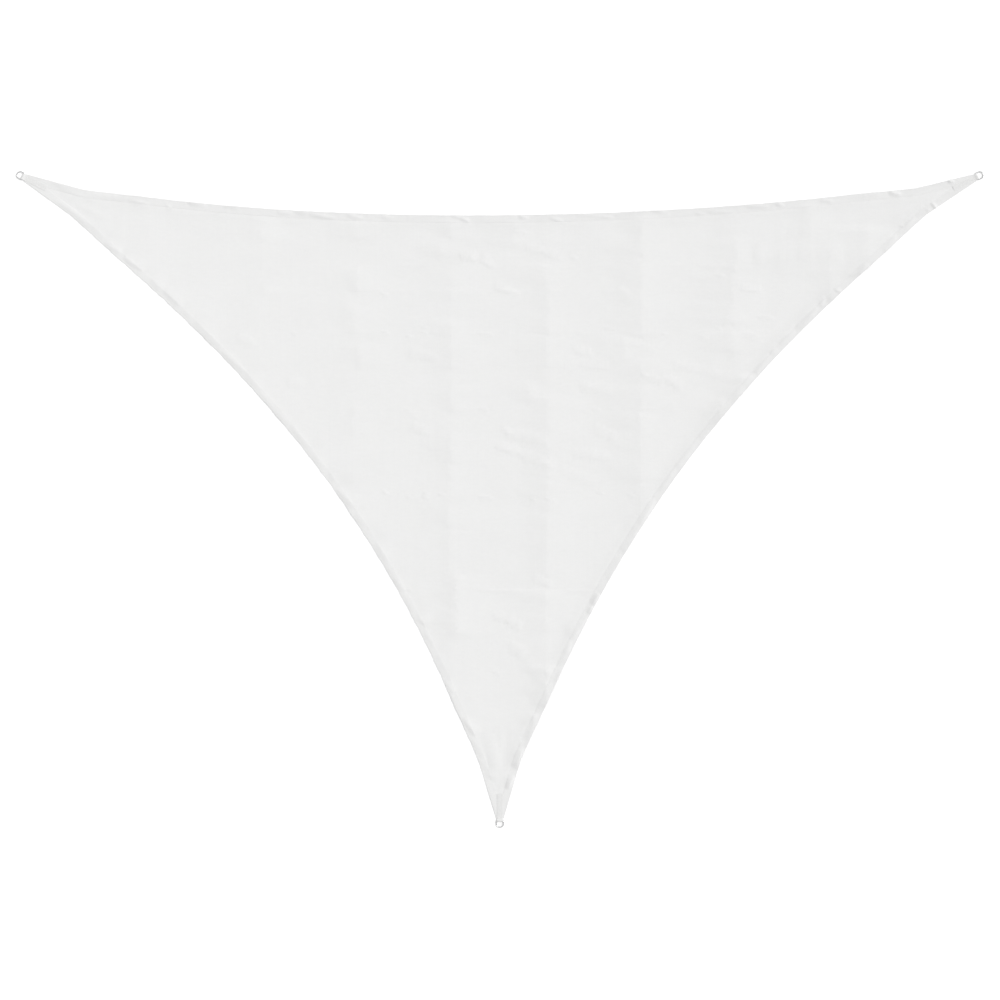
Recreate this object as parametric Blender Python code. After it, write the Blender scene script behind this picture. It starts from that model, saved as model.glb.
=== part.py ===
"""A triangular shade sail, laid out face up on the ground.

Knitted cloth with a turned and sewn hem, a webbing strap folded over each corner, and a steel
D-ring in each strap. Units are metres and +Z is up. The sail lies on z = 0 with its wide edge
towards +Y, and the middle of the whole sail is over the origin.
"""

import math
from collections import namedtuple

import bmesh
import bpy
from mathutils import Vector
from mathutils.geometry import delaunay_2d_cdt

# The triangle between the middles of the three rings
WIDE_SIDE = 6.000
SHORT_SIDE = 5.045
WIDE_SIDE_Y = 2.0274

# Cloth
CLOTH_THICK = 0.0015
HEM_WIDTH = 0.046
HEM_THICK = 0.0030
HEM_SLOPE = 0.006       # the step from hem to single cloth, measured across it
PUCKER_PITCH = 0.130    # between the puckers that the hem's sewing draws up
PUCKER_HEIGHT = 0.0040
PUCKER_LEAST = 0.35     # the lowest pucker's share of that height
PUCKER_REACH = 0.110    # how far a pucker runs in from the edge
PUCKER_FREE = 0.240     # no puckers this near a ring, where the strap holds the cloth flat
PUCKER_FADE = 0.160     # the length over which they grow from there
CORNER_START = 0.037    # from a ring's middle to the cloth, along the corner's middle line
CORNER_HALF = 0.023     # half of the cloth's width there
CORNER_LENGTH = 0.400   # of the straight-sided corner, along its edge
CORNER_DRAW = 0.012     # how much the sewing draws the edge in at the corner's end
CORNER_FADE = 0.350     # the length over which the edge comes back to its curve
CORNER_LIFT = 0.0018    # the cloth lies on the strap's lower tail
CORNER_LEVEL = 0.197    # from a ring's middle to where the lifted cloth begins to come down
CORNER_DOWN = 0.130     # the length over which it comes down to the ground
MESH_GAP = 0.024        # closest that two of the sheet's points may lie
INSIDE_GAP = 0.030      # closest that the hem and a point inside it may lie

# Corner straps
STRAP_WIDTH = 0.036
STRAP_THICK = 0.0015
STRAP_END = 0.187       # from a ring's middle to the tails' ends
STRAP_LANDING = 0.041   # from a ring's middle to where the upper tail comes down on the cloth
GAP = 0.0003

# D-rings
WIRE_RADIUS = 0.003
RING_WIDTH = 0.044      # between the middles of the two legs
RING_LENGTH = 0.039     # between the middle of the bar and the middle of the bow
RING_BEND = 0.004       # bend radius at the bar's ends
WIRE_SIDES = 12
BOW_STEPS = 16
BEND_STEPS = 3
BAR_FROM_MIDDLE = RING_LENGTH / 2
BAR_HEIGHT = STRAP_THICK + GAP + WIRE_RADIUS

# How far each edge is cut in from the straight line between its rings. With a running from -1 to 1
# along that line, it is set_in + (1 - a * a) * (sag + skew * a + fullness * a * a).
Edge = namedtuple("Edge", "start end sag skew fullness set_in")
EDGES = (
    Edge("left", "bottom", 0.4130, 0.0436, -0.0540, -0.0041),
    Edge("bottom", "right", 0.3911, -0.0220, -0.0630, 0.0162),
    Edge("right", "left", 0.2446, 0.0244, 0.0429, 0.0066),
)

# Folds that packing leaves across the wide edge's direction: a steep left flank and a short right one
UprightFold = namedtuple("UprightFold", "x height left right")
UPRIGHT_FOLDS = (
    UprightFold(-2.190, 0.0025, 0.15, 0.12),
    UprightFold(-1.550, 0.0040, 0.17, 0.12),
    UprightFold(-0.940, 0.0045, 0.17, 0.13),
    UprightFold(-0.315, 0.0065, 0.19, 0.12),
    UprightFold(0.290, 0.0080, 0.19, 0.12),
    UprightFold(0.885, 0.0080, 0.19, 0.12),
    UprightFold(1.475, 0.0075, 0.18, 0.12),
    UprightFold(2.050, 0.0070, 0.16, 0.11),
)

# Finer folds along the wide edge's direction, further apart towards the bottom corner
LevelFold = namedtuple("LevelFold", "y left right height")
LEVEL_FOLDS = (
    LevelFold(1.830, -2.00, 2.30, 0.0018),
    LevelFold(1.456, -1.70, 1.80, 0.0018),
    LevelFold(1.038, -1.30, 1.60, 0.0020),
    LevelFold(0.562, -0.90, 1.30, 0.0022),
    LevelFold(0.025, -0.70, 0.95, 0.0028),
    LevelFold(-0.562, -0.45, 0.55, 0.0034),
    LevelFold(-1.190, -0.22, 0.25, 0.0022),
)
LEVEL_REACH = 0.035
SWAY = 0.014            # how far an upright fold wanders to either side
LEVEL_FADE = 0.20       # a level fold dies away over this length at its ends
FOLD_FLOOR = 0.35       # what is left of an upright fold where a level fold crosses it

# Single wrinkles: where each starts and ends, its height, and how far it reaches to either side
Wrinkle = namedtuple("Wrinkle", "x0 y0 x1 y1 height reach")
WRINKLES = (
    Wrinkle(-0.02, 0.41, 0.42, 0.36, 0.0050, 0.050),
    Wrinkle(0.03, 0.31, 0.35, 0.20, 0.0075, 0.055),
    Wrinkle(0.42, 0.20, 0.64, 0.13, 0.0070, 0.050),
    Wrinkle(0.15, 1.58, 0.48, 1.51, 0.0045, 0.050),
    Wrinkle(-0.26, 1.52, 0.06, 1.46, 0.0045, 0.045),
    Wrinkle(0.43, 0.98, 1.14, 0.70, 0.0060, 0.060),
    Wrinkle(0.90, 1.00, 1.38, 0.80, 0.0050, 0.055),
    Wrinkle(-0.71, 0.58, -0.49, 0.51, 0.0040, 0.045),
    Wrinkle(-0.38, 0.68, -0.15, 0.55, 0.0050, 0.045),
    Wrinkle(0.06, -0.90, 0.26, -1.09, 0.0080, 0.060),
    Wrinkle(-0.10, -0.72, 0.18, -0.80, 0.0045, 0.045),
    Wrinkle(1.56, 1.50, 2.14, 1.54, 0.0070, 0.090),
    Wrinkle(1.40, 0.70, 1.22, 0.52, 0.0075, 0.070),
    Wrinkle(0.66, -0.20, 0.76, -0.08, 0.0060, 0.060),
    Wrinkle(0.31, -0.88, 0.41, -0.74, 0.0060, 0.055),
    Wrinkle(0.20, -1.12, 0.16, -1.34, 0.0060, 0.060),
    Wrinkle(-2.42, 1.62, -2.22, 1.47, 0.0045, 0.060),
    Wrinkle(-1.76, 1.06, -1.58, 0.89, 0.0060, 0.065),
    Wrinkle(-1.26, 0.56, -1.12, 0.40, 0.0060, 0.065),
    Wrinkle(-0.78, -0.12, -0.68, -0.28, 0.0055, 0.060),
    Wrinkle(-0.39, -0.74, -0.32, -0.88, 0.0050, 0.055),
)

# Gathers that fan out from each strap: angle off the corner's middle line, start and end
# distances from the ring's middle, height
Gather = namedtuple("Gather", "angle start end height")
GATHERS = (
    Gather(-8.0, 0.26, 0.62, 0.0040),
    Gather(0.0, 0.24, 0.54, 0.0050),
    Gather(8.0, 0.26, 0.68, 0.0045),
)
GATHER_REACH = 0.036

CLOTH_WHITE = (0.84, 0.84, 0.835, 1.0)
WEBBING_WHITE = (0.80, 0.80, 0.79, 1.0)
STEEL_GREY = (0.62, 0.62, 0.63, 1.0)

Corner = namedtuple("Corner", "name middle inward half_angle")


# The triangle and its corners

def make_corners():
    """Return the three corners: ring middle, direction into the cloth, angle to either straight side."""
    drop = math.sqrt(SHORT_SIDE ** 2 - (WIDE_SIDE / 2) ** 2)
    side_angle = math.atan2(drop, WIDE_SIDE / 2)
    half = side_angle / 2
    tip_half = math.pi / 2 - side_angle
    left = Vector((-WIDE_SIDE / 2, WIDE_SIDE_Y))
    right = Vector((WIDE_SIDE / 2, WIDE_SIDE_Y))
    bottom = Vector((0.0, WIDE_SIDE_Y - drop))
    return {
        "left": Corner("left", left, Vector((math.cos(half), -math.sin(half))), half),
        "right": Corner("right", right, Vector((-math.cos(half), -math.sin(half))), half),
        "bottom": Corner("bottom", bottom, Vector((0.0, 1.0)), tip_half),
    }


CORNERS = make_corners()


def side_vectors(edge):
    """Return an edge's straight line: its start, its length, its direction and the way into the cloth."""
    start = CORNERS[edge.start].middle
    line = CORNERS[edge.end].middle - start
    along = line.normalized()
    return start, line.length, along, Vector((-along.y, along.x))


def curve_depth(edge, distance, length):
    """How far the curved part of an edge is cut in, at a distance along its straight line."""
    a = 2 * distance / length - 1
    past_corner = min(distance, length - distance) - CORNER_LENGTH
    draw = CORNER_DRAW * max(0.0, 1.0 - past_corner / CORNER_FADE)
    return edge.set_in + draw + (1 - a * a) * (edge.sag + edge.skew * a + edge.fullness * a * a)


def corner_foot(corner):
    """Where the cloth's end corner lies: distance along the straight side, and depth in from it."""
    cos, sin = math.cos(corner.half_angle), math.sin(corner.half_angle)
    along = CORNER_START * cos + CORNER_HALF * sin
    depth = CORNER_START * sin - CORNER_HALF * cos
    return along, depth


def edge_depth(edge, distance):
    """Depth of the cut edge in from its straight line: straight at the corners, curved between."""
    length = side_vectors(edge)[1]
    for name, from_end in ((edge.start, distance), (edge.end, length - distance)):
        if from_end < CORNER_LENGTH:
            foot, foot_depth = corner_foot(CORNERS[name])
            at_curve = CORNER_LENGTH if name == edge.start else length - CORNER_LENGTH
            share = (from_end - foot) / (CORNER_LENGTH - foot)
            return foot_depth + share * (curve_depth(edge, at_curve, length) - foot_depth)
    return curve_depth(edge, distance, length)


def edge_stations(edge):
    """Distances along an edge's straight line, two for each pucker."""
    length = side_vectors(edge)[1]
    first = corner_foot(CORNERS[edge.start])[0]
    last = length - corner_foot(CORNERS[edge.end])[0]
    count = 2 * round((last - first) / PUCKER_PITCH)
    return [first + (last - first) * i / count for i in range(count + 1)]


def edge_row(edge, inset):
    """Points of an edge's row, moved in from the cut edge by an inset."""
    start, _, along, inward = side_vectors(edge)
    step = 0.001
    row = []
    for distance in edge_stations(edge):
        rise = (edge_depth(edge, distance + step) - edge_depth(edge, distance - step)) / (2 * step)
        normal = (inward - along * rise).normalized()
        row.append(start + along * distance + inward * edge_depth(edge, distance) + normal * inset)
    return row


def inset_of(edge, point):
    """How far in from a cut edge a point lies, and its distance along the edge's straight line."""
    start, length, along, inward = side_vectors(edge)
    distance = min(max((point - start).dot(along), 0.0), length)
    step = 0.01
    rise = (edge_depth(edge, distance + step) - edge_depth(edge, distance - step)) / (2 * step)
    depth = (point - start).dot(inward) - edge_depth(edge, distance)
    return depth / math.hypot(1.0, rise), distance


# How the cloth lies

def tent(distance, reach):
    """1 on a fold's crest, falling evenly to 0 at its reach."""
    return max(0.0, 1.0 - abs(distance) / reach)


def uneven(a, b):
    """A fixed, scattered share between 0 and 1 for a pair of counts."""
    return 0.5 + 0.5 * math.sin(12.9 * a + 78.2 * b + 4.1 * a * b)


def row_strength(y):
    """Row number between two level folds, and 0 at either fold to 1 midway."""
    lines = [fold.y for fold in LEVEL_FOLDS]
    for row, (upper, lower) in enumerate(zip(lines, lines[1:])):
        if lower <= y <= upper:
            share = (y - lower) / (upper - lower)
            return row, 4 * share * (1 - share)
    return len(lines), 0.6


def crest_x(fold, y):
    """Where an upright fold's crest runs at a height up the sail."""
    return fold.x + SWAY * math.sin(2.3 * y + 5.0 * fold.x)


def upright_height(x, y):
    """Height of the upright packing folds."""
    row, strength = row_strength(y)
    best = 0.0
    for count, fold in enumerate(UPRIGHT_FOLDS):
        aside = x - crest_x(fold, y)
        reach = fold.left if aside < 0 else fold.right
        share = FOLD_FLOOR + (1 - FOLD_FLOOR) * strength * (0.4 + 0.6 * uneven(count, row))
        best = max(best, fold.height * share * tent(aside, reach))
    return best


def level_height(x, y):
    """Height of the level packing folds."""
    best = 0.0
    for fold in LEVEL_FOLDS:
        from_end = min(x - fold.left, fold.right - x)
        fade = min(max(from_end / LEVEL_FADE, 0.0), 1.0)
        best = max(best, fold.height * fade * tent(y - fold.y, LEVEL_REACH))
    return best


def ridge_height(point, start, end, height, reach):
    """Height of one straight ridge that dies away towards both ends."""
    line = end - start
    share = (point - start).dot(line) / line.length_squared
    if not 0.0 < share < 1.0:
        return 0.0
    aside = (point - start - line * share).length
    return height * tent(aside, reach) * math.sqrt(4 * share * (1 - share))


def gather_ends(corner, gather):
    """Start and end points of one of a corner's gathers."""
    turn = math.radians(gather.angle)
    way = Vector((corner.inward.x * math.cos(turn) - corner.inward.y * math.sin(turn),
                  corner.inward.x * math.sin(turn) + corner.inward.y * math.cos(turn)))
    return corner.middle + way * gather.start, corner.middle + way * gather.end


def all_ridges():
    """Every single wrinkle and gather as (start, end, height, reach)."""
    ridges = [(Vector((w.x0, w.y0)), Vector((w.x1, w.y1)), w.height, w.reach) for w in WRINKLES]
    for corner in CORNERS.values():
        for gather in GATHERS:
            ridges.append((*gather_ends(corner, gather), gather.height, GATHER_REACH))
    return ridges


RIDGES = all_ridges()


def corner_height(point):
    """The strap's lower tail lifts the corner, which comes down to the ground past the tail's end."""
    best = 0.0
    for corner in CORNERS.values():
        down = ((point - corner.middle).dot(corner.inward) - CORNER_LEVEL) / CORNER_DOWN
        best = max(best, CORNER_LIFT * min(max(1.0 - down, 0.0), 1.0))
    return best


def pucker_height(point):
    """Height of the puckers that the hem's sewing draws up along the cut edges."""
    best = 0.0
    for number, edge in enumerate(EDGES):
        inset, distance = inset_of(edge, point)
        stations = edge_stations(edge)
        place = (distance - stations[0]) / (stations[2] - stations[0])
        count = math.floor(place)
        wave = 1.0 - abs(2 * (place - count) - 1.0)
        from_end = min(distance, side_vectors(edge)[1] - distance)
        growth = min(max((from_end - PUCKER_FREE) / PUCKER_FADE, 0.0), 1.0)
        share = PUCKER_LEAST + (1 - PUCKER_LEAST) * uneven(count, number)
        best = max(best, PUCKER_HEIGHT * share * growth * wave * tent(inset, PUCKER_REACH))
    return best


def lie(point):
    """Height of the cloth's underside over the ground."""
    heights = [upright_height(point.x, point.y), level_height(point.x, point.y),
               corner_height(point), pucker_height(point)]
    heights += [ridge_height(point, *ridge) for ridge in RIDGES]
    return max(heights)


def hem_share(point):
    """1 on the hem, 0 on the single cloth."""
    inset = min(inset_of(edge, point)[0] for edge in EDGES)
    return min(max((HEM_WIDTH - inset) / HEM_SLOPE + 1e-6, 0.0), 1.0)


# The sheet's points

def far_enough(point, taken, least):
    """True if a point keeps a distance from the points already taken."""
    return all((point - other).length > least for other in taken)


def inner_row(edge, inset):
    """Runs of an inset row's points that are that far in from all three edges."""
    row = edge_row(edge, inset)
    return [p for p in row if min(inset_of(other, p)[0] for other in EDGES) > inset - 0.002]


def ridge_points():
    """Points along every single ridge's crest and both of its feet."""
    points = []
    for start, end, _, reach in RIDGES:
        line = end - start
        across = Vector((-line.y, line.x)).normalized() * reach
        steps = max(4, round(line.length / 0.075))
        crest = [start + line * (i / steps) for i in range(steps + 1)]
        points += crest
        points += [p + across for p in crest[1:-1]] + [p - across for p in crest[1:-1]]
    return points


def fold_points():
    """Points on the crests, flanks and feet of the packing folds, where the two sets cross."""
    lines = [fold.y for fold in LEVEL_FOLDS]
    upward = []
    for line in lines:
        upward += [line - LEVEL_REACH, line, line + LEVEL_REACH]
    for upper, lower in zip(lines, lines[1:]):
        upward += [lower + (upper - lower) * share for share in (0.3, 0.5, 0.7)]
    points = []
    for y in upward:
        for fold in UPRIGHT_FOLDS:
            for aside in (-fold.left, -fold.left / 2, 0.0, fold.right / 2, fold.right):
                points.append(Vector((crest_x(fold, y) + aside, y)))
    return points


def corner_points():
    """A point just past each strap's end, which keeps the cloth level under the upper tail."""
    return [corner.middle + corner.inward * CORNER_LEVEL for corner in CORNERS.values()]


def sheet_points():
    """Outline points, hem rows and inside points of the sheet, with the hem rows' edges."""
    outline = [p for edge in EDGES for p in edge_row(edge, 0.0)]
    points = list(outline)
    kept_edges = []
    for edge in EDGES:
        for inset in (HEM_WIDTH - HEM_SLOPE, HEM_WIDTH):
            row = inner_row(edge, inset)
            first = len(points)
            points += row
            kept_edges += [(first + i, first + i + 1) for i in range(len(row) - 1)]
    points += corner_points()
    inside = ridge_points()
    for edge in EDGES:
        inside += inner_row(edge, PUCKER_REACH)[::2]
    inside += fold_points()
    for point in inside:
        in_from_edges = min(inset_of(edge, point)[0] for edge in EDGES)
        if in_from_edges > HEM_WIDTH + INSIDE_GAP and far_enough(point, points, MESH_GAP):
            points.append(point)
    return points, kept_edges, list(range(len(outline)))


# Objects

def finish(name, mesh_data, colour, roughness, metallic):
    """Make the object of one piece, smooth but for its sharp edges, in its own material."""
    mesh = bpy.data.meshes.new(name)
    mesh_data.to_mesh(mesh)
    mesh_data.free()
    mesh.shade_smooth()
    mesh.set_sharp_from_angle(angle=math.radians(40))
    material = bpy.data.materials.new(name)
    material.use_nodes = True
    shader = material.node_tree.nodes["Principled BSDF"]
    shader.inputs["Base Color"].default_value = colour
    shader.inputs["Roughness"].default_value = roughness
    shader.inputs["Metallic"].default_value = metallic
    mesh.materials.append(material)
    piece = bpy.data.objects.new(name, mesh)
    bpy.context.scene.collection.objects.link(piece)
    return piece


def make_cloth():
    """The hemmed cloth: a triangulated sheet in its lying shape, given its thickness."""
    points, kept_edges, outline = sheet_points()
    flat, _, faces, *_ = delaunay_2d_cdt(points, kept_edges, [outline], 1, 1e-6)
    sheet = bmesh.new()
    verts = [sheet.verts.new((p.x, p.y, lie(p))) for p in flat]
    for face in faces:
        sheet.faces.new([verts[i] for i in face])
    bmesh.ops.recalc_face_normals(sheet, faces=sheet.faces)
    underside = list(sheet.faces)
    if underside[0].normal.z > 0:
        bmesh.ops.reverse_faces(sheet, faces=underside)
    upper = bmesh.ops.extrude_face_region(sheet, geom=underside, use_keep_orig=True)
    for vert in (item for item in upper["geom"] if isinstance(item, bmesh.types.BMVert)):
        thick = CLOTH_THICK + (HEM_THICK - CLOTH_THICK) * hem_share(vert.co.to_2d())
        vert.co.z += thick
    bmesh.ops.recalc_face_normals(sheet, faces=sheet.faces)
    return finish("sail_cloth", sheet, CLOTH_WHITE, 0.85, 0.0)


def sweep(rings, closed):
    """Skin a row of like rings of points, as a loop or with a cap at either end."""
    skin = bmesh.new()
    rows = [[skin.verts.new(point) for point in ring] for ring in rings]
    pairs = list(zip(rows, rows[1:]))
    if closed:
        pairs.append((rows[-1], rows[0]))
    else:
        skin.faces.new(reversed(rows[0]))
        skin.faces.new(rows[-1])
    for first, second in pairs:
        for i, vert in enumerate(first):
            after = (i + 1) % len(first)
            skin.faces.new((vert, first[after], second[after], second[i]))
    bmesh.ops.recalc_face_normals(skin, faces=skin.faces)
    return skin


def arc(centre_x, centre_y, radius, start, end, steps):
    """Points and outward angles of an arc, angles in degrees."""
    angles = [math.radians(start + (end - start) * i / steps) for i in range(steps + 1)]
    return [(centre_x + radius * math.cos(a), centre_y + radius * math.sin(a), a) for a in angles]


def ring_line():
    """The D-ring's wire line, flat: bow towards -X, bar towards +X, with its outward angles."""
    half = RING_WIDTH / 2
    bow_x = half - RING_LENGTH / 2
    bend_x = BAR_FROM_MIDDLE - RING_BEND
    bend_y = half - RING_BEND
    line = arc(bow_x, 0.0, half, 90, 270, BOW_STEPS)
    line += arc(bend_x, -bend_y, RING_BEND, 270, 360, BEND_STEPS)
    line += arc(bend_x, bend_y, RING_BEND, 0, 90, BEND_STEPS)
    return line


def make_ring(corner):
    """A D-ring: its bar in the strap's fold, its bow resting on the ground."""
    rings = []
    for x, y, outward in ring_line():
        rings.append([])
        for side in range(WIRE_SIDES):
            turn = 2 * math.pi * side / WIRE_SIDES
            out = WIRE_RADIUS * math.cos(turn)
            rings[-1].append((x + out * math.cos(outward), y + out * math.sin(outward),
                              WIRE_RADIUS * math.sin(turn)))
    ring = finish("d_ring_" + corner.name, sweep(rings, True), STEEL_GREY, 0.25, 1.0)
    tilt = math.asin((BAR_HEIGHT - WIRE_RADIUS) / RING_LENGTH)
    middle_height = (BAR_HEIGHT + WIRE_RADIUS) / 2
    ring.location = (*corner.middle, middle_height)
    ring.rotation_euler = (0.0, -tilt, math.atan2(corner.inward.y, corner.inward.x))


def strap_line():
    """The strap's middle line in its own upright plane: lower tail, fold round the bar, upper tail."""
    half = STRAP_THICK / 2
    fold = WIRE_RADIUS + GAP + half
    upper = CORNER_LIFT + HEM_THICK + GAP + half
    line = [(STRAP_END, half, -math.pi / 2)]
    line += arc(BAR_FROM_MIDDLE, BAR_HEIGHT, fold, -90, -270, 10)
    drop = BAR_HEIGHT + fold - upper
    span = STRAP_LANDING - BAR_FROM_MIDDLE
    for share in (0.25, 0.5, 0.75):
        height = upper + drop * (0.5 + 0.5 * math.cos(math.pi * share))
        lean = math.atan(-drop * 0.5 * math.pi * math.sin(math.pi * share) / span)
        line.append((BAR_FROM_MIDDLE + span * share, height, math.pi / 2 + lean))
    line.append((STRAP_LANDING, upper, math.pi / 2))
    line.append((STRAP_END, upper, math.pi / 2))
    return line


def make_strap(corner):
    """A webbing strap folded round a ring's bar, with the cloth's corner between its tails."""
    rings = []
    for x, z, outward in strap_line():
        out_x = STRAP_THICK / 2 * math.cos(outward)
        out_z = STRAP_THICK / 2 * math.sin(outward)
        rings.append([(x + out_x, -STRAP_WIDTH / 2, z + out_z), (x + out_x, STRAP_WIDTH / 2, z + out_z),
                      (x - out_x, STRAP_WIDTH / 2, z - out_z), (x - out_x, -STRAP_WIDTH / 2, z - out_z)])
    strap = finish("corner_strap_" + corner.name, sweep(rings, False), WEBBING_WHITE, 0.8, 0.0)
    strap.location = (*corner.middle, 0.0)
    strap.rotation_euler.z = math.atan2(corner.inward.y, corner.inward.x)


def main():
    """Clear the scene and build the sail."""
    for item in list(bpy.data.objects):
        bpy.data.objects.remove(item, do_unlink=True)
    make_cloth()
    for corner in CORNERS.values():
        make_strap(corner)
        make_ring(corner)


main()
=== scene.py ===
"""Looks of a triangular shade sail that lies face up on a pale floor.

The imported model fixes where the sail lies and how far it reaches. This script models what shows on
it: the knitted cloth with its turned hem, packing creases and puckers, the sewing, the webbing
straps and the steel D-rings. Units are metres and +Z is up. The wide edge lies towards +Y.
"""

import logging
import math
from collections.abc import Callable
from dataclasses import dataclass, field
from enum import Enum
from functools import cached_property, reduce

import bmesh
import bpy
import numpy as np
from mathutils import Matrix, Vector, noise
from mathutils.geometry import delaunay_2d_cdt


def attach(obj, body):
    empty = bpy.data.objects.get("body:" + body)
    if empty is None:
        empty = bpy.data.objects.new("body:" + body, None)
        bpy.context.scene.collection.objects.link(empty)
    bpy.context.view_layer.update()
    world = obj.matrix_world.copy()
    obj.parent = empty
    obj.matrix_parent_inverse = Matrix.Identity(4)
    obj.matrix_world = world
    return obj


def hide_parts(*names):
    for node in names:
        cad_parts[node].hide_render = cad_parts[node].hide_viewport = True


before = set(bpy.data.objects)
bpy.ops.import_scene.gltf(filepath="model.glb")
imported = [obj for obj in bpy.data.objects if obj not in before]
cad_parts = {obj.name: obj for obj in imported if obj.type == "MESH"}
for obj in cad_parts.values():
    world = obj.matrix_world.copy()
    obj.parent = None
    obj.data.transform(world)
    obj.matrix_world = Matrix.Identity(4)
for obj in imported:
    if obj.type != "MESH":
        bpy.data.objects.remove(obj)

LOG = logging.getLogger("shade_sail")
BODY = "root"
Array = np.ndarray
Pair = tuple[float, float]
Triple = tuple[float, float, float]

# What keeps a division from nought, and how near to each other two points count as one: on the
# flat cloth, and on the small pieces.
TINY = 1e-6
SAME_FLAT = 1e-7
SAME_POINT = 1e-5


class Side(Enum):
    """The three corners, each with the end of its pieces' names."""

    LEFT = "left"
    RIGHT = "right"
    BOTTOM = "bottom"


class Slot(Enum):
    """The record's material slots."""

    CLOTH = "cloth"
    WEBBING = "webbing"
    RING = "ring"


# The waves in a ragged line: each one's share, its turning to a metre, and its shift with the seed.
RAGGED_WAVES = ((0.55, 41.0, 9.7), (0.30, 97.0, 5.3), (0.15, 211.0, 3.1))


def ragged(place: Array, seed: float) -> Array:
    """A fixed wavering between about -1 and 1 along a line."""
    return sum(share * np.sin(turning * place + shift * seed)
               for share, turning, shift in RAGGED_WAVES)


# -------------------- the sail's plan


@dataclass(frozen=True)
class Corner:
    """One corner of the triangle between the rings' middles."""

    side: Side
    # Where its ring's middle lies.
    x: float
    y: float
    # Direction into the cloth, and the angle from there to either straight side, in radians.
    heading: float
    half_angle: float
    # From the ring's middle to the cloth along that direction, and half of the cloth's width there.
    cloth_start: float = 0.037
    cloth_half: float = 0.023

    @property
    def middle(self) -> Array:
        """The ring's middle."""
        return np.array((self.x, self.y))

    @property
    def inward(self) -> Array:
        """The unit vector along the corner's middle line, into the cloth."""
        return np.array((math.cos(self.heading), math.sin(self.heading)))

    @property
    def aside(self) -> Array:
        """The unit vector across the corner's middle line."""
        return np.array((-math.sin(self.heading), math.cos(self.heading)))

    def foot(self) -> Pair:
        """Where the cloth's end lies: distance along the straight side, and depth in from it."""
        cos, sin = math.cos(self.half_angle), math.sin(self.half_angle)
        return (self.cloth_start * cos + self.cloth_half * sin,
                self.cloth_start * sin - self.cloth_half * cos)

    def local(self, points: Array) -> tuple[Array, Array]:
        """Distances of points along and across the corner's middle line."""
        away = points - self.middle
        return away @ self.inward, away @ self.aside

    def placed(self, height: float = 0.0, tilt: float = 0.0) -> Matrix:
        """The place of a piece modelled with +X as the way into the cloth.

        Args:
            height: How far its origin lies over the floor.
            tilt: How far its +X end is turned up, in radians.

        Returns:
            The matrix that puts the piece at this corner.
        """
        return (Matrix.Translation((self.x, self.y, height))
                @ Matrix.Rotation(self.heading, 4, "Z") @ Matrix.Rotation(-tilt, 4, "Y"))


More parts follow.
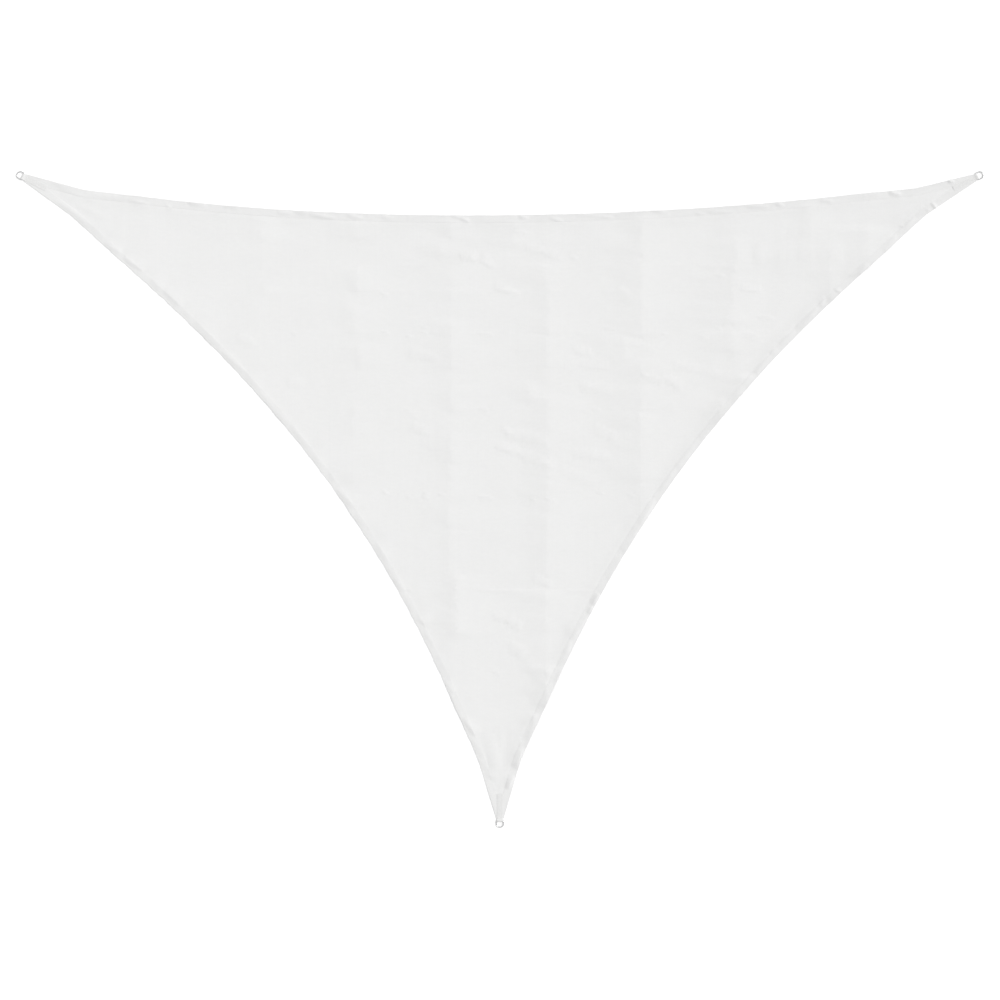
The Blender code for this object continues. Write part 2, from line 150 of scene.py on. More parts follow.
@dataclass(frozen=True)
class CutEdge:
    """One cut edge of the cloth, curved in from the straight line between two rings.

    With a running from -1 to 1 along that line, the curve's depth is
    set_in + (1 - a * a) * (sag + skew * a + fullness * a * a).
    """

    start: Corner
    end: Corner
    sag: float
    skew: float
    fullness: float
    set_in: float
    # The edge is straight up to corner_length from either ring. Where its curve begins it is drawn
    # further in, which dies away over draw_fade.
    corner_length: float = 0.400
    corner_draw: float = 0.012
    draw_fade: float = 0.350
    # How far the finished edge strays from its even curve, and where that starts, as a share of
    # corner_length.
    waver: float = 0.0010
    waver_start: float = 0.5
    # How strongly the hem's painted grey shows along it. It is less on the left edge, whose form
    # already lies in the light's shade, so the hem's painted shade differs with the light.
    greyness: float = 1.0

    @cached_property
    def line(self) -> Array:
        """The straight line from ring to ring."""
        return self.end.middle - self.start.middle

    @cached_property
    def length(self) -> float:
        """Length of the straight line."""
        return float(np.linalg.norm(self.line))

    @cached_property
    def along(self) -> Array:
        """The unit vector along the straight line."""
        return self.line / self.length

    @cached_property
    def inward(self) -> Array:
        """The unit vector from the straight line into the cloth."""
        return np.array((-self.along[1], self.along[0]))

    @cached_property
    def ends(self) -> Pair:
        """Distances at which the cut edge starts and stops."""
        return self.start.foot()[0], self.length - self.end.foot()[0]

    def from_end(self, distance: Array) -> Array:
        """How far places along the straight line lie from the nearer ring."""
        return np.minimum(distance, self.length - distance)

    def curve_depth(self, distance: Array) -> Array:
        """Depth of the curved part.

        Args:
            distance: Distances along the straight line.

        Returns:
            One depth for each distance.
        """
        a = 2 * distance / self.length - 1
        past_corner = self.from_end(distance) - self.corner_length
        draw = self.corner_draw * np.maximum(0.0, 1.0 - past_corner / self.draw_fade)
        return self.set_in + draw + (1 - a * a) * (self.sag + self.skew * a + self.fullness * a * a)

    def depth(self, distance: Array) -> Array:
        """Depth of the cut edge: straight at the corners and curved between them.

        Args:
            distance: Distances along the straight line.

        Returns:
            One depth for each distance.
        """
        depth = self.curve_depth(distance)
        for corner, from_ring, joins in (
                (self.start, distance, self.corner_length),
                (self.end, self.length - distance, self.length - self.corner_length)):
            foot, foot_depth = corner.foot()
            share = (from_ring - foot) / (self.corner_length - foot)
            straight = foot_depth + share * (self.curve_depth(np.array(joins)) - foot_depth)
            depth = np.where(from_ring < self.corner_length, straight, depth)
        return depth

    def rise(self, distance: Array, step: float = 0.004) -> Array:
        """How fast the depth grows along the straight line."""
        return (self.depth(distance + step) - self.depth(distance - step)) / (2 * step)

    def rail(self, distance: Array) -> tuple[Array, Array]:
        """The cut edge's own line.

        Args:
            distance: Distances along the straight line.

        Returns:
            Points on the cut edge, and the unit vectors from them into the cloth.
        """
        rise = self.rise(distance)
        points = (self.start.middle + np.outer(distance, self.along)
                  + np.outer(self.depth(distance), self.inward))
        normals = self.inward - np.outer(rise, self.along)
        return points, normals / np.linalg.norm(normals, axis=1, keepdims=True)

    def wavering(self, distance: Array) -> Array:
        """How far the finished edge strays inwards from its even curve."""
        growth = np.clip(self.from_end(distance) / self.corner_length - self.waver_start, 0.0, 1.0)
        return self.waver * growth * ragged(distance, self.sag)

    def inset(self, points: Array) -> tuple[Array, Array]:
        """How far in from the cut edge points lie.

        Args:
            points: Places on the floor.

        Returns:
            Each point's distance in from the edge, and its distance along the straight line.
        """
        away = points - self.start.middle
        distance = np.clip(away @ self.along, 0.0, self.length)
        depth = away @ self.inward - self.depth(distance)
        return depth / np.hypot(1.0, self.rise(distance)), distance

    def hem_room(self, distance: Array) -> Array:
        """How wide a hem may be before it meets the other edge's hem on a corner's middle line.

        Args:
            distance: Distances along the straight line.

        Returns:
            One width for each distance.
        """
        points, normals = self.rail(distance)
        room = np.full(len(points), np.inf)
        for corner in (self.start, self.end):
            _, aside = corner.local(points)
            closing = -(normals @ corner.aside) * np.sign(aside)
            reach = np.abs(aside) / np.maximum(closing, TINY)
            room = np.where(closing > 0, np.minimum(room, reach), room)
        return room


@dataclass(frozen=True)
class SailPlan:
    """The triangle between the rings and the cloth's three cut edges."""

    # Distances between the rings' middles, and how far up those of the wide side lie.
    wide_side: float = 6.000
    short_side: float = 5.045
    wide_side_y: float = 2.0274

    @cached_property
    def corners(self) -> dict[Side, Corner]:
        """The three corners.

        Returns:
            Each corner by its side.
        """
        half_wide = self.wide_side / 2
        drop = math.sqrt(self.short_side ** 2 - half_wide ** 2)
        side_angle = math.atan2(drop, half_wide)
        upper, tip = side_angle / 2, math.pi / 2 - side_angle
        return {
            Side.LEFT: Corner(Side.LEFT, -half_wide, self.wide_side_y, -upper, upper),
            Side.RIGHT: Corner(Side.RIGHT, half_wide, self.wide_side_y, math.pi + upper, upper),
            Side.BOTTOM: Corner(Side.BOTTOM, 0.0, self.wide_side_y - drop, math.pi / 2, tip),
        }

    @cached_property
    def edges(self) -> dict[str, CutEdge]:
        """The three cut edges, in order round the cloth."""
        left, right, bottom = (self.corners[side] for side in (Side.LEFT, Side.RIGHT, Side.BOTTOM))
        # The curves' four numbers were fitted to the edges in the photograph.
        return {
            # The left hem is painted less grey because the light already shades its form.
            "left": CutEdge(left, bottom, sag=0.4130, skew=0.0436, fullness=-0.0540,
                            set_in=-0.0041, waver=0.0024, greyness=0.5),
            "right": CutEdge(bottom, right, sag=0.3911, skew=-0.0220, fullness=-0.0630,
                             set_in=0.0162),
            "top": CutEdge(right, left, sag=0.2446, skew=0.0244, fullness=0.0429, set_in=0.0066),
        }

    def inset(self, points: Array) -> Array:
        """How far in from the nearest cut edge points lie."""
        return np.minimum.reduce([edge.inset(points)[0] for edge in self.edges.values()])


# -------------------- how the cloth lies


@dataclass(frozen=True)
class UprightFold:
    """A packing fold across the wide edge: a crest at x and the widths of its two flanks."""

    x: float
    height: float
    left: float
    right: float


@dataclass(frozen=True)
class FoldPatch:
    """A stretch of an upright fold where its left flank, of the width given, stands out."""

    x: float
    top: float
    bottom: float
    width: float
    height: float


@dataclass(frozen=True)
class LevelCrease:
    """A fine packing crease along the wide edge's direction, with its crest at y."""

    y: float
    left: float
    right: float
    height: float


@dataclass(frozen=True)
class Crease:
    """A crease from one place to another, and the widths of its shaded and its lit flank."""

    x0: float
    y0: float
    x1: float
    y1: float
    height: float
    shaded: float
    lit: float


UPRIGHT_FOLDS = (
    UprightFold(-2.190, 0.0016, 0.15, 0.22),
    UprightFold(-1.550, 0.0026, 0.17, 0.26),
    UprightFold(-0.940, 0.0030, 0.17, 0.28),
    UprightFold(-0.315, 0.0040, 0.19, 0.30),
    UprightFold(0.290, 0.0046, 0.19, 0.30),
    UprightFold(0.885, 0.0048, 0.19, 0.30),
    UprightFold(1.475, 0.0044, 0.18, 0.28),
    UprightFold(2.050, 0.0024, 0.14, 0.28),
)

# Each row: where the crest runs, upper end, lower end, width of the left flank, height.
FOLD_PATCHES = tuple(FoldPatch(*row) for row in (
    (-1.490, 1.760, 1.605, 0.14, 0.0050), (-1.490, 1.605, 1.405, 0.05, 0.0020),
    (-1.480, 1.360, 1.270, 0.06, 0.0030), (-0.905, 1.735, 1.620, 0.22, 0.0060),
    (-0.895, 1.445, 1.290, 0.10, 0.0060), (-0.925, 1.205, 1.115, 0.11, 0.0050),
    (-0.905, 1.115, 1.020, 0.08, 0.0040), (-0.880, 0.970, 0.820, 0.08, 0.0055),
    (-0.895, 0.820, 0.720, 0.06, 0.0020), (-0.920, 0.595, 0.395, 0.06, 0.0035),
    (-0.310, 1.745, 1.620, 0.15, 0.0070), (-0.375, 1.620, 1.520, 0.15, 0.0065),
    (-0.305, 1.320, 1.245, 0.18, 0.0050), (-0.305, 1.120, 0.810, 0.16, 0.0065),
    (-0.300, 0.705, 0.545, 0.13, 0.0060), (-0.305, 0.410, 0.220, 0.15, 0.0065),
    (-0.310, 0.220, 0.120, 0.09, 0.0050), (-0.320, 0.120, -0.005, 0.09, 0.0035),
    (-0.320, -0.055, -0.180, 0.08, 0.0060), (-0.310, -0.190, -0.480, 0.10, 0.0050),
    (-0.280, -0.480, -0.855, 0.13, 0.0090), (0.090, 1.740, 1.580, 0.22, 0.0055),
    (0.280, 1.470, 1.345, 0.26, 0.0065), (0.300, 1.345, 1.020, 0.14, 0.0065),
    (0.295, 1.020, 0.820, 0.22, 0.0065), (0.190, 0.720, 0.610, 0.13, 0.0060),
    (0.295, 0.645, 0.120, 0.15, 0.0060), (0.295, 0.120, -0.080, 0.18, 0.0070),
    (0.290, -0.080, -0.485, 0.15, 0.0060), (0.280, -0.570, -0.830, 0.22, 0.0070),
    (0.880, 1.770, 1.610, 0.15, 0.0075), (0.880, 1.635, 1.510, 0.26, 0.0085),
    (0.880, 1.510, 1.010, 0.20, 0.0080), (0.775, 1.020, 0.860, 0.20, 0.0055),
    (0.880, 0.885, 0.785, 0.20, 0.0060), (0.880, 0.710, 0.545, 0.31, 0.0070),
    (0.880, 0.545, 0.110, 0.22, 0.0085), (0.880, 0.110, -0.035, 0.09, 0.0060),
    (1.475, 1.635, 1.410, 0.20, 0.0075), (1.455, 1.410, 1.220, 0.22, 0.0070),
    (1.445, 1.235, 1.095, 0.28, 0.0080), (1.445, 1.055, 0.915, 0.22, 0.0075),
    (1.360, 0.935, 0.720, 0.11, 0.0020), (1.380, 0.620, 0.440, 0.13, 0.0080),
    (1.500, 0.780, 0.600, 0.15, 0.0100), (1.930, 1.845, 1.650, 0.15, 0.0060),
    (2.055, 1.710, 1.510, 0.22, 0.0030), (2.055, 1.485, 1.245, 0.15, 0.0050),
    (2.070, 1.400, 1.240, 0.10, 0.0060), (0.870, -0.050, -0.190, 0.14, 0.0050),
    (0.430, -0.750, -1.050, 0.09, 0.0050), (0.210, -1.340, -1.520, 0.14, 0.0075),
    (0.120, -1.500, -1.680, 0.10, 0.0075), (0.290, -1.040, -1.300, 0.14, 0.0130),
    (2.290, 1.700, 1.390, 0.42, 0.0100),
))

LEVEL_CREASES = (
    LevelCrease(1.830, -2.00, 2.30, 0.0011),
    LevelCrease(1.456, -1.70, 1.80, 0.0010),
    LevelCrease(1.300, -1.60, 2.05, 0.0010),
    LevelCrease(1.038, -1.30, 1.60, 0.0009),
    LevelCrease(0.562, -0.90, 1.30, 0.0007),
    LevelCrease(0.306, -0.98, 0.08, 0.0008),
    LevelCrease(0.025, -0.72, 0.86, 0.0006),
    LevelCrease(-0.200, -0.50, 0.62, 0.0009),
    LevelCrease(-0.565, -0.30, 0.62, 0.0008),
    LevelCrease(-1.190, -0.16, 0.10, 0.0014),
)

# Each row: how far up it lies, left end, right end, height.
LEVEL_DASHES = (
    (1.670, 0.090, 0.170, 0.0030), (1.670, 1.780, 1.860, 0.0030), (1.595, 1.850, 1.940, 0.0030),
    (1.510, 0.440, 0.490, 0.0025), (1.405, 1.330, 1.405, 0.0030), (1.285, -0.745, -0.695, 0.0025),
    (1.140, 1.605, 1.710, 0.0035), (1.080, -0.500, -0.450, 0.0025), (1.070, 0.645, 0.730, 0.0030),
    (1.070, 1.340, 1.390, 0.0025), (1.045, -0.500, -0.450, 0.0025), (1.045, -0.740, -0.690, 0.0025),
    (1.040, -1.310, -1.265, 0.0025), (1.035, -0.140, -0.045, 0.0030), (1.035, 1.010, 1.050, 0.0015),
    (1.020, -0.590, -0.545, 0.0025), (1.015, 1.250, 1.300, 0.0015), (0.785, 0.880, 0.930, 0.0030),
    (0.695, 1.075, 1.140, 0.0035), (0.565, -0.140, -0.070, 0.0025), (0.565, 0.570, 0.630, 0.0025),
    (0.045, -0.740, -0.695, 0.0025), (0.045, 0.595, 0.650, 0.0030), (0.040, -0.490, -0.440, 0.0025),
    (0.035, -0.390, -0.340, 0.0030), (0.030, 0.790, 0.840, 0.0020), (0.015, -0.140, -0.045, 0.0030),
    (0.015, -0.490, -0.440, 0.0025), (0.015, -0.590, -0.545, 0.0020), (0.005, 0.275, 0.340, 0.0025),
    (0.000, 0.180, 0.230, 0.0025), (-0.560, -0.290, -0.240, 0.0025), (-0.565, -0.595, -0.540, 0.0025),
    (-0.570, -0.140, 0.145, 0.0025), (-0.570, 0.410, 0.575, 0.0025), (-1.080, -0.050, 0.005, 0.0030),
)

# Each row of the creases: start x and y, end x and y, height, width of the shaded flank.
LEFT_HEM_CREASES = (
    (-2.750, 1.860, -2.630, 1.780, 0.0020, 0.030), (-2.640, 1.755, -2.560, 1.695, 0.0020, 0.020),
    (-2.550, 1.710, -2.465, 1.635, 0.0020, 0.035), (-2.475, 1.610, -2.370, 1.540, 0.0045, 0.025),
    (-2.350, 1.510, -2.230, 1.430, 0.0060, 0.020), (-2.180, 1.380, -2.105, 1.305, 0.0045, 0.035),
    (-2.105, 1.310, -1.995, 1.210, 0.0055, 0.025), (-1.980, 1.180, -1.925, 1.135, 0.0020, 0.020),
    (-1.900, 1.115, -1.725, 0.935, 0.0045, 0.045), (-1.740, 0.930, -1.590, 0.795, 0.0045, 0.030),
    (-1.590, 0.795, -1.490, 0.685, 0.0040, 0.035), (-1.505, 0.680, -1.410, 0.570, 0.0030, 0.035),
    (-1.425, 0.570, -1.310, 0.470, 0.0030, 0.035), (-1.310, 0.470, -1.190, 0.320, 0.0035, 0.030),
    (-1.190, 0.320, -1.090, 0.185, 0.0025, 0.030), (-1.070, 0.185, -1.025, 0.105, 0.0025, 0.025),
    (-1.020, 0.070, -0.900, -0.055, 0.0055, 0.035), (-0.900, -0.080, -0.850, -0.165, 0.0025, 0.025),
    (-0.770, -0.270, -0.700, -0.390, 0.0045, 0.035), (-0.710, -0.380, -0.650, -0.490, 0.0025, 0.035),
    (-0.665, -0.480, -0.590, -0.580, 0.0045, 0.030), (-0.600, -0.590, -0.540, -0.705, 0.0020, 0.015),
    (-0.515, -0.740, -0.450, -0.790, 0.0040, 0.020), (-0.475, -0.815, -0.410, -0.930, 0.0025, 0.020),
    (-0.390, -0.965, -0.300, -1.130, 0.0025, 0.035), (-0.340, -1.140, -0.290, -1.205, 0.0035, 0.020),
    (-0.310, -1.215, -0.230, -1.380, 0.0015, 0.015), (-0.225, -1.365, -0.150, -1.480, 0.0065, 0.025),
    (-0.175, -1.490, -0.100, -1.615, 0.0025, 0.025), (-0.125, -1.630, -0.060, -1.705, 0.0015, 0.015),
    (-0.090, -1.715, -0.005, -1.745, 0.0030, 0.025),
)

RIGHT_HEM_CREASES = (
    (2.695, 1.855, 2.730, 1.815, 0.0060, 0.015), (2.660, 1.805, 2.690, 1.805, 0.0025, 0.010),
    (2.490, 1.710, 2.530, 1.705, 0.0030, 0.010), (2.400, 1.545, 2.480, 1.645, 0.0045, 0.050),
    (2.530, 1.695, 2.595, 1.760, 0.0035, 0.040), (2.240, 1.410, 2.300, 1.470, 0.0040, 0.035),
    (2.090, 1.310, 2.140, 1.295, 0.0040, 0.015), (2.050, 1.240, 2.075, 1.265, 0.0020, 0.010),
    (2.000, 1.210, 2.030, 1.265, 0.0040, 0.020), (1.875, 1.070, 1.990, 1.195, 0.0055, 0.050),
    (1.855, 1.060, 1.870, 1.110, 0.0020, 0.010), (1.750, 0.965, 1.845, 1.045, 0.0045, 0.045),
    (1.690, 0.910, 1.730, 0.940, 0.0030, 0.020), (1.595, 0.785, 1.690, 0.895, 0.0045, 0.035),
    (1.515, 0.720, 1.580, 0.770, 0.0040, 0.020), (1.250, 0.370, 1.340, 0.470, 0.0030, 0.040),
    (1.100, 0.195, 1.225, 0.345, 0.0035, 0.040), (1.000, 0.045, 1.100, 0.195, 0.0035, 0.035),
    (0.875, -0.160, 0.970, -0.005, 0.0065, 0.050), (0.775, -0.330, 0.875, -0.160, 0.0050, 0.070),
    (0.810, -0.285, 0.850, -0.215, 0.0040, 0.025), (0.675, -0.505, 0.760, -0.355, 0.0045, 0.040),
    (0.575, -0.660, 0.625, -0.590, 0.0100, 0.030), (0.550, -0.715, 0.580, -0.670, 0.0080, 0.020),
    (0.450, -0.880, 0.550, -0.720, 0.0060, 0.080), (0.375, -1.055, 0.450, -0.880, 0.0035, 0.060),
    (0.345, -1.145, 0.390, -1.055, 0.0045, 0.025), (0.195, -1.385, 0.230, -1.340, 0.0020, 0.020),
    (0.160, -1.540, 0.215, -1.390, 0.0025, 0.020), (0.100, -1.680, 0.145, -1.555, 0.0065, 0.060),
    (0.045, -1.805, 0.090, -1.730, 0.0100, 0.035),
)

TOP_HEM_CREASES = (
    (-2.810, 1.985, -2.625, 1.935, 0.0040, 0.030), (-2.595, 1.915, -2.325, 1.885, 0.0035, 0.030),
    (-2.325, 1.880, -2.190, 1.845, 0.0040, 0.030), (-2.100, 1.865, -2.025, 1.785, 0.0020, 0.020),
    (-1.950, 1.855, -1.840, 1.845, 0.0075, 0.025), (-1.740, 1.835, -1.625, 1.820, 0.0035, 0.010),
    (-1.390, 1.795, -1.300, 1.790, 0.0060, 0.020), (-1.270, 1.795, -1.195, 1.795, 0.0075, 0.020),
    (-1.190, 1.785, -1.030, 1.760, 0.0070, 0.020), (-0.955, 1.780, -0.860, 1.760, 0.0060, 0.025),
    (-0.740, 1.770, -0.665, 1.760, 0.0040, 0.020), (-0.580, 1.765, -0.530, 1.760, 0.0020, 0.010),
    (-0.300, 1.770, -0.245, 1.760, 0.0060, 0.010), (-0.250, 1.760, -0.190, 1.740, 0.0090, 0.015),
    (0.120, 1.770, 0.175, 1.760, 0.0065, 0.020), (0.310, 1.760, 0.395, 1.740, 0.0050, 0.015),
    (0.475, 1.780, 0.625, 1.770, 0.0035, 0.010), (0.620, 1.765, 0.705, 1.760, 0.0050, 0.010),
    (0.705, 1.780, 0.940, 1.810, 0.0040, 0.030), (0.940, 1.810, 1.050, 1.795, 0.0050, 0.020),
    (1.220, 1.790, 1.290, 1.785, 0.0040, 0.015), (1.250, 1.810, 1.470, 1.795, 0.0035, 0.025),
    (1.530, 1.835, 1.675, 1.835, 0.0050, 0.020), (1.720, 1.845, 1.775, 1.840, 0.0065, 0.015),
    (2.000, 1.870, 2.080, 1.865, 0.0055, 0.015), (2.090, 1.890, 2.375, 1.910, 0.0030, 0.025),
    (2.430, 1.920, 2.505, 1.910, 0.0095, 0.025), (2.800, 1.990, 2.840, 1.985, 0.0100, 0.015),
    (2.825, 1.970, 2.860, 1.920, 0.0025, 0.030), (2.860, 1.995, 2.910, 1.985, 0.0075, 0.025),
)

INNER_CREASES = (
    (0.000, 0.440, 0.075, 0.415, 0.0035, 0.015), (0.030, 0.410, 0.300, 0.370, 0.0055, 0.030),
    (-0.030, 0.330, 0.125, 0.295, 0.0040, 0.030), (0.100, 0.295, 0.350, 0.205, 0.0045, 0.040),
    (0.375, 0.190, 0.670, 0.085, 0.0025, 0.060), (0.195, -0.495, 0.330, -0.540, 0.0040, 0.020),
    (-0.045, 1.330, 0.125, 1.280, 0.0040, 0.025), (0.150, 1.565, 0.280, 1.555, 0.0035, 0.020),
    (0.260, 1.545, 0.390, 1.510, 0.0040, 0.020), (-0.260, 1.515, -0.145, 1.510, 0.0070, 0.020),
    (-0.125, 1.515, -0.040, 1.445, 0.0030, 0.025), (0.725, 1.335, 0.855, 1.230, 0.0020, 0.050),
    (0.450, 0.930, 0.575, 0.915, 0.0035, 0.015), (0.500, 0.830, 0.690, 0.820, 0.0035, 0.010),
    (0.875, 0.780, 1.025, 0.730, 0.0035, 0.020), (1.000, 0.765, 1.140, 0.705, 0.0045, 0.020),
    (1.075, 0.840, 1.250, 0.810, 0.0035, 0.020), (1.240, 0.810, 1.440, 0.760, 0.0030, 0.030),
    (0.740, 0.980, 0.975, 0.955, 0.0025, 0.015), (1.175, 1.390, 1.350, 1.380, 0.0025, 0.015),
    (1.500, 1.310, 1.640, 1.305, 0.0040, 0.020), (1.530, 1.030, 1.700, 1.015, 0.0020, 0.060),
    (-0.050, -0.730, 0.050, -0.755, 0.0040, 0.020), (0.025, -0.745, 0.140, -0.805, 0.0055, 0.025),
    (0.050, -0.910, 0.160, -0.965, 0.0050, 0.035), (0.150, -0.965, 0.305, -1.190, 0.0020, 0.060),
    (-0.070, -1.460, -0.020, -1.730, 0.0040, 0.035), (-0.595, 0.560, -0.500, 0.510, 0.0020, 0.020),
    (-0.560, 0.455, -0.425, 0.410, 0.0035, 0.025), (-0.575, 0.910, -0.375, 0.885, 0.0055, 0.025),
    (-1.340, 0.730, -1.225, 0.715, 0.0040, 0.025), (-1.650, 1.015, -1.525, 0.970, 0.0035, 0.030),
    (0.490, 0.705, 0.700, 0.685, 0.0045, 0.030), (0.450, 0.280, 0.700, 0.265, 0.0050, 0.020),
    (0.580, 0.455, 0.740, 0.370, 0.0030, 0.030),
)

BROAD_CREASE = Crease(1.575, 1.520, 2.150, 1.520, height=0.0080, shaded=0.14, lit=0.30)
LEFT_LIT, RIGHT_LIT, TOP_LIT, INNER_LIT = 0.080, 0.025, 0.013, 0.035
DASH_FLANKS = (0.013, 0.008)
HEM_CREASES = tuple(
    Crease(*row, lit)
    for rows, lit in (
        (LEFT_HEM_CREASES, LEFT_LIT), (RIGHT_HEM_CREASES, RIGHT_LIT), (TOP_HEM_CREASES, TOP_LIT))
    for row in rows)
SHEET_CREASES = (
    BROAD_CREASE,
    *(Crease(*row, INNER_LIT) for row in INNER_CREASES),
    *(Crease(left, y, right, y, height, *DASH_FLANKS) for y, left, right, height in LEVEL_DASHES),
)


# How fast the scattered shares change with either count and with both.
SCATTER = (12.9, 78.2, 4.1)
# Which noise each form reads. Level creases and hem swells add their own count to it.
FOLD_SEED, DASH_SEED, BROAD_SEED, FINE_SEED, SWELL_SEED = 3.0, 7.0, 11.0, 19.0, 31.0


def flank(distance: Array, reach: Array, easing: float = 1.5) -> Array:
    """1 on a sharp crest, easing down to 0 at its reach."""
    return np.clip(1.0 - np.abs(distance) / reach, 0.0, 1.0) ** easing


def hill(distance: Array, reach: float) -> Array:
    """1 on a round crest, easing down to 0 at its reach."""
    return 0.5 + 0.5 * np.cos(math.pi * np.clip(np.abs(distance) / reach, 0.0, 1.0))


def arch(share: Array) -> Array:
    """0 at either end of a run and 1 midway."""
    return 4 * share * (1 - share)


def uneven(a: Array, b: Array) -> Array:
    """A fixed, scattered share between 0 and 1 for pairs of counts."""
    by_a, by_b, by_both = SCATTER
    return 0.5 + 0.5 * np.sin(by_a * a + by_b * b + by_both * a * b)


def patches(points: Array, size: Pair, seed: float) -> Array:
    """Smooth noise between -1 and 1 over the floor.

    Args:
        points: Where it is read.
        size: Size of its patches along X and along Y.
        seed: Which noise it is.

    Returns:
        One value for each point.
    """
    across, along = size
    return np.array([noise.noise((x / across, y / along, seed)) for x, y in points])


@dataclass(frozen=True)
class Lie:
    """How the cloth lies: the height of its underside over the floor.

    The fields stand in the order of the methods that read them. A pair of a middle and a spread
    is for noise between -1 and 1.
    """

    plan: SailPlan
    light_way: Pair = (0.914, 0.407)
    # Upright folds: sway of a crest, the least share that shows, and how unevenly they are worn.
    fold_sway: float = 0.014
    sway_turning: float = 2.3
    sway_shift: float = 5.0
    fold_floor: float = 0.35
    end_strength: float = 0.6
    least_fold: float = 0.4
    fold_wear: float = 0.35
    fold_wear_patch: Pair = (0.16, 0.10)
    # Stretches where a fold stands out: sway and raggedness, fade at the ends, the right flank.
    patch_sway: float = 0.011
    patch_ragged: float = 0.28
    ragged_shift: float = 3.0
    patch_fade: float = 0.045
    patch_right: float = 0.26
    patch_easing: float = 1.15
    # Level creases: half their width, fade at the ends, and how they break into dashes.
    crease_reach: float = 0.012
    crease_fade: float = 0.20
    dash_share: Pair = (0.55, 1.6)
    dash_patch: Pair = (0.09, 4.0)
    # Listed creases: width at the ends, wear, and easing of the shaded and lit flanks.
    end_width: float = 0.4
    crease_wear: float = 0.15
    shaded_easing: float = 1.1
    lit_easing: float = 1.5
    # Ridges that fan out from the straps.
    gather_angles: Triple = (-8.0, 0.0, 8.0)
    gather_span: Pair = (0.25, 0.62)
    gather_height: float = 0.0034
    gather_reach: float = 0.036
    # Corners lifted by the straps' lower tails.
    lift: float = 0.0018
    lift_level: float = 0.197
    lift_down: float = 0.130
    strap_half: float = 0.026
    strap_fade: Pair = (0.05, 0.02)
    # Broad swells along the hem, and the fine puckers at its sewing.
    swell_height: float = 0.0026
    swell_share: Pair = (0.55, 1.1)
    swell_patch: float = 0.26
    swell_crest: float = 0.045
    swell_edge: float = 0.45
    swell_reach: float = 0.150
    swell_easing: float = 1.3
    swell_free: float = 0.240
    swell_fade: float = 0.160
    seam_pitch: float = 0.054
    seam_wander: Pair = (2.0, 9.0)
    seam_count: int = 5
    seam_least: float = 0.3
    seam_height: float = 0.0008
    seam_reach: float = 0.070
    # Faint ripples, with patches of two sizes, that grow to the right.
    ripple_height: float = 0.0012
    ripple_growth: float = 0.9
    ripple_run: Pair = (1.4, 0.2)
    ripple_broad: Pair = (0.22, 0.09)
    ripple_fine: Pair = (0.075, 0.040)
    ripple_shares: Triple = (0.5, 0.32, 0.18)

    def crest_x(self, fold: UprightFold, y: Array) -> Array:
        """Where an upright fold's crest runs at heights up the sail."""
        return fold.x + self.fold_sway * np.sin(self.sway_turning * y + self.sway_shift * fold.x)

    def patch_x(self, patch: FoldPatch, y: Array) -> Array:
        """Where a fold patch's crest runs at heights up the sail."""
        return patch.x + self.patch_sway * ragged(y, patch.x)

    def row_strength(self, y: Array) -> tuple[Array, Array]:
        """How strongly the upright folds show between the level creases.

        Args:
            y: How far up the sail points lie.

        Returns:
            Each point's row between two level creases, and 0 at either crease to 1 midway.
        """
        lines = np.array(sorted(crease.y for crease in LEVEL_CREASES))
        row = np.searchsorted(lines, y)
        inside = (row > 0) & (row < len(lines))
        lower = lines[np.clip(row - 1, 0, len(lines) - 1)]
        upper = lines[np.clip(row, 0, len(lines) - 1)]
        share = np.where(inside, (y - lower) / np.maximum(upper - lower, TINY), 0.0)
        return row, np.where(inside, arch(share), self.end_strength)

    def upright(self, points: Array) -> Array:
        """Height of the upright packing folds.

        Args:
            points: Places on the floor.

        Returns:
            One height for each place.
        """
        x, y = points.T
        row, strength = self.row_strength(y)
        varied = 1.0 + self.fold_wear * patches(points, self.fold_wear_patch, FOLD_SEED)
        best = np.zeros(len(points))
        for count, fold in enumerate(UPRIGHT_FOLDS):
            aside = x - self.crest_x(fold, y)
            chance = self.least_fold + (1 - self.least_fold) * uneven(count, row)
            share = self.fold_floor + (1 - self.fold_floor) * strength * chance
            shape = flank(aside, np.where(aside < 0, fold.left, fold.right))
            best = np.maximum(best, fold.height * share * shape * varied)
        return best

    def fold_patches(self, points: Array) -> Array:
        """Height of the stretches where the upright folds stand out.

        Args:
            points: Places on the floor.

        Returns:
            One height for each place.
        """
        x, y = points.T
        total = np.zeros(len(points))
        for patch in FOLD_PATCHES:
            from_end = np.minimum(patch.top - y, y - patch.bottom) + self.patch_fade / 2
            near = (from_end > 0) & (np.abs(x - patch.x) < patch.width + self.patch_right)
            up = y[near]
            aside = x[near] - self.patch_x(patch, up)
            spread = self.patch_ragged * ragged(up + self.ragged_shift, patch.x)
            fade = 1.0 - hill(from_end[near], self.patch_fade)
            shape = np.where(aside < 0, flank(aside, patch.width * (1.0 + spread), self.patch_easing),
                             flank(aside, self.patch_right))
            total[near] += (patch.height * fade * shape) ** 3
        return np.cbrt(total)

    def level(self, points: Array) -> Array:
        """Height of the level packing creases, broken into dashes.

        Args:
            points: Places on the floor.

        Returns:
            One height for each place.
        """
        x, y = points.T
        middle, spread = self.dash_share
        best = np.zeros(len(points))
        for count, crease in enumerate(LEVEL_CREASES):
            from_end = np.minimum(x - crease.left, crease.right - x)
            fade = np.clip(from_end / self.crease_fade, 0.0, 1.0)
            broken = patches(points, self.dash_patch, DASH_SEED + count)
            shape = flank(y - crease.y, self.crease_reach, 1.0)
            best = np.maximum(
                best, crease.height * fade * np.clip(middle + spread * broken, 0.0, 1.0) * shape)
        return best

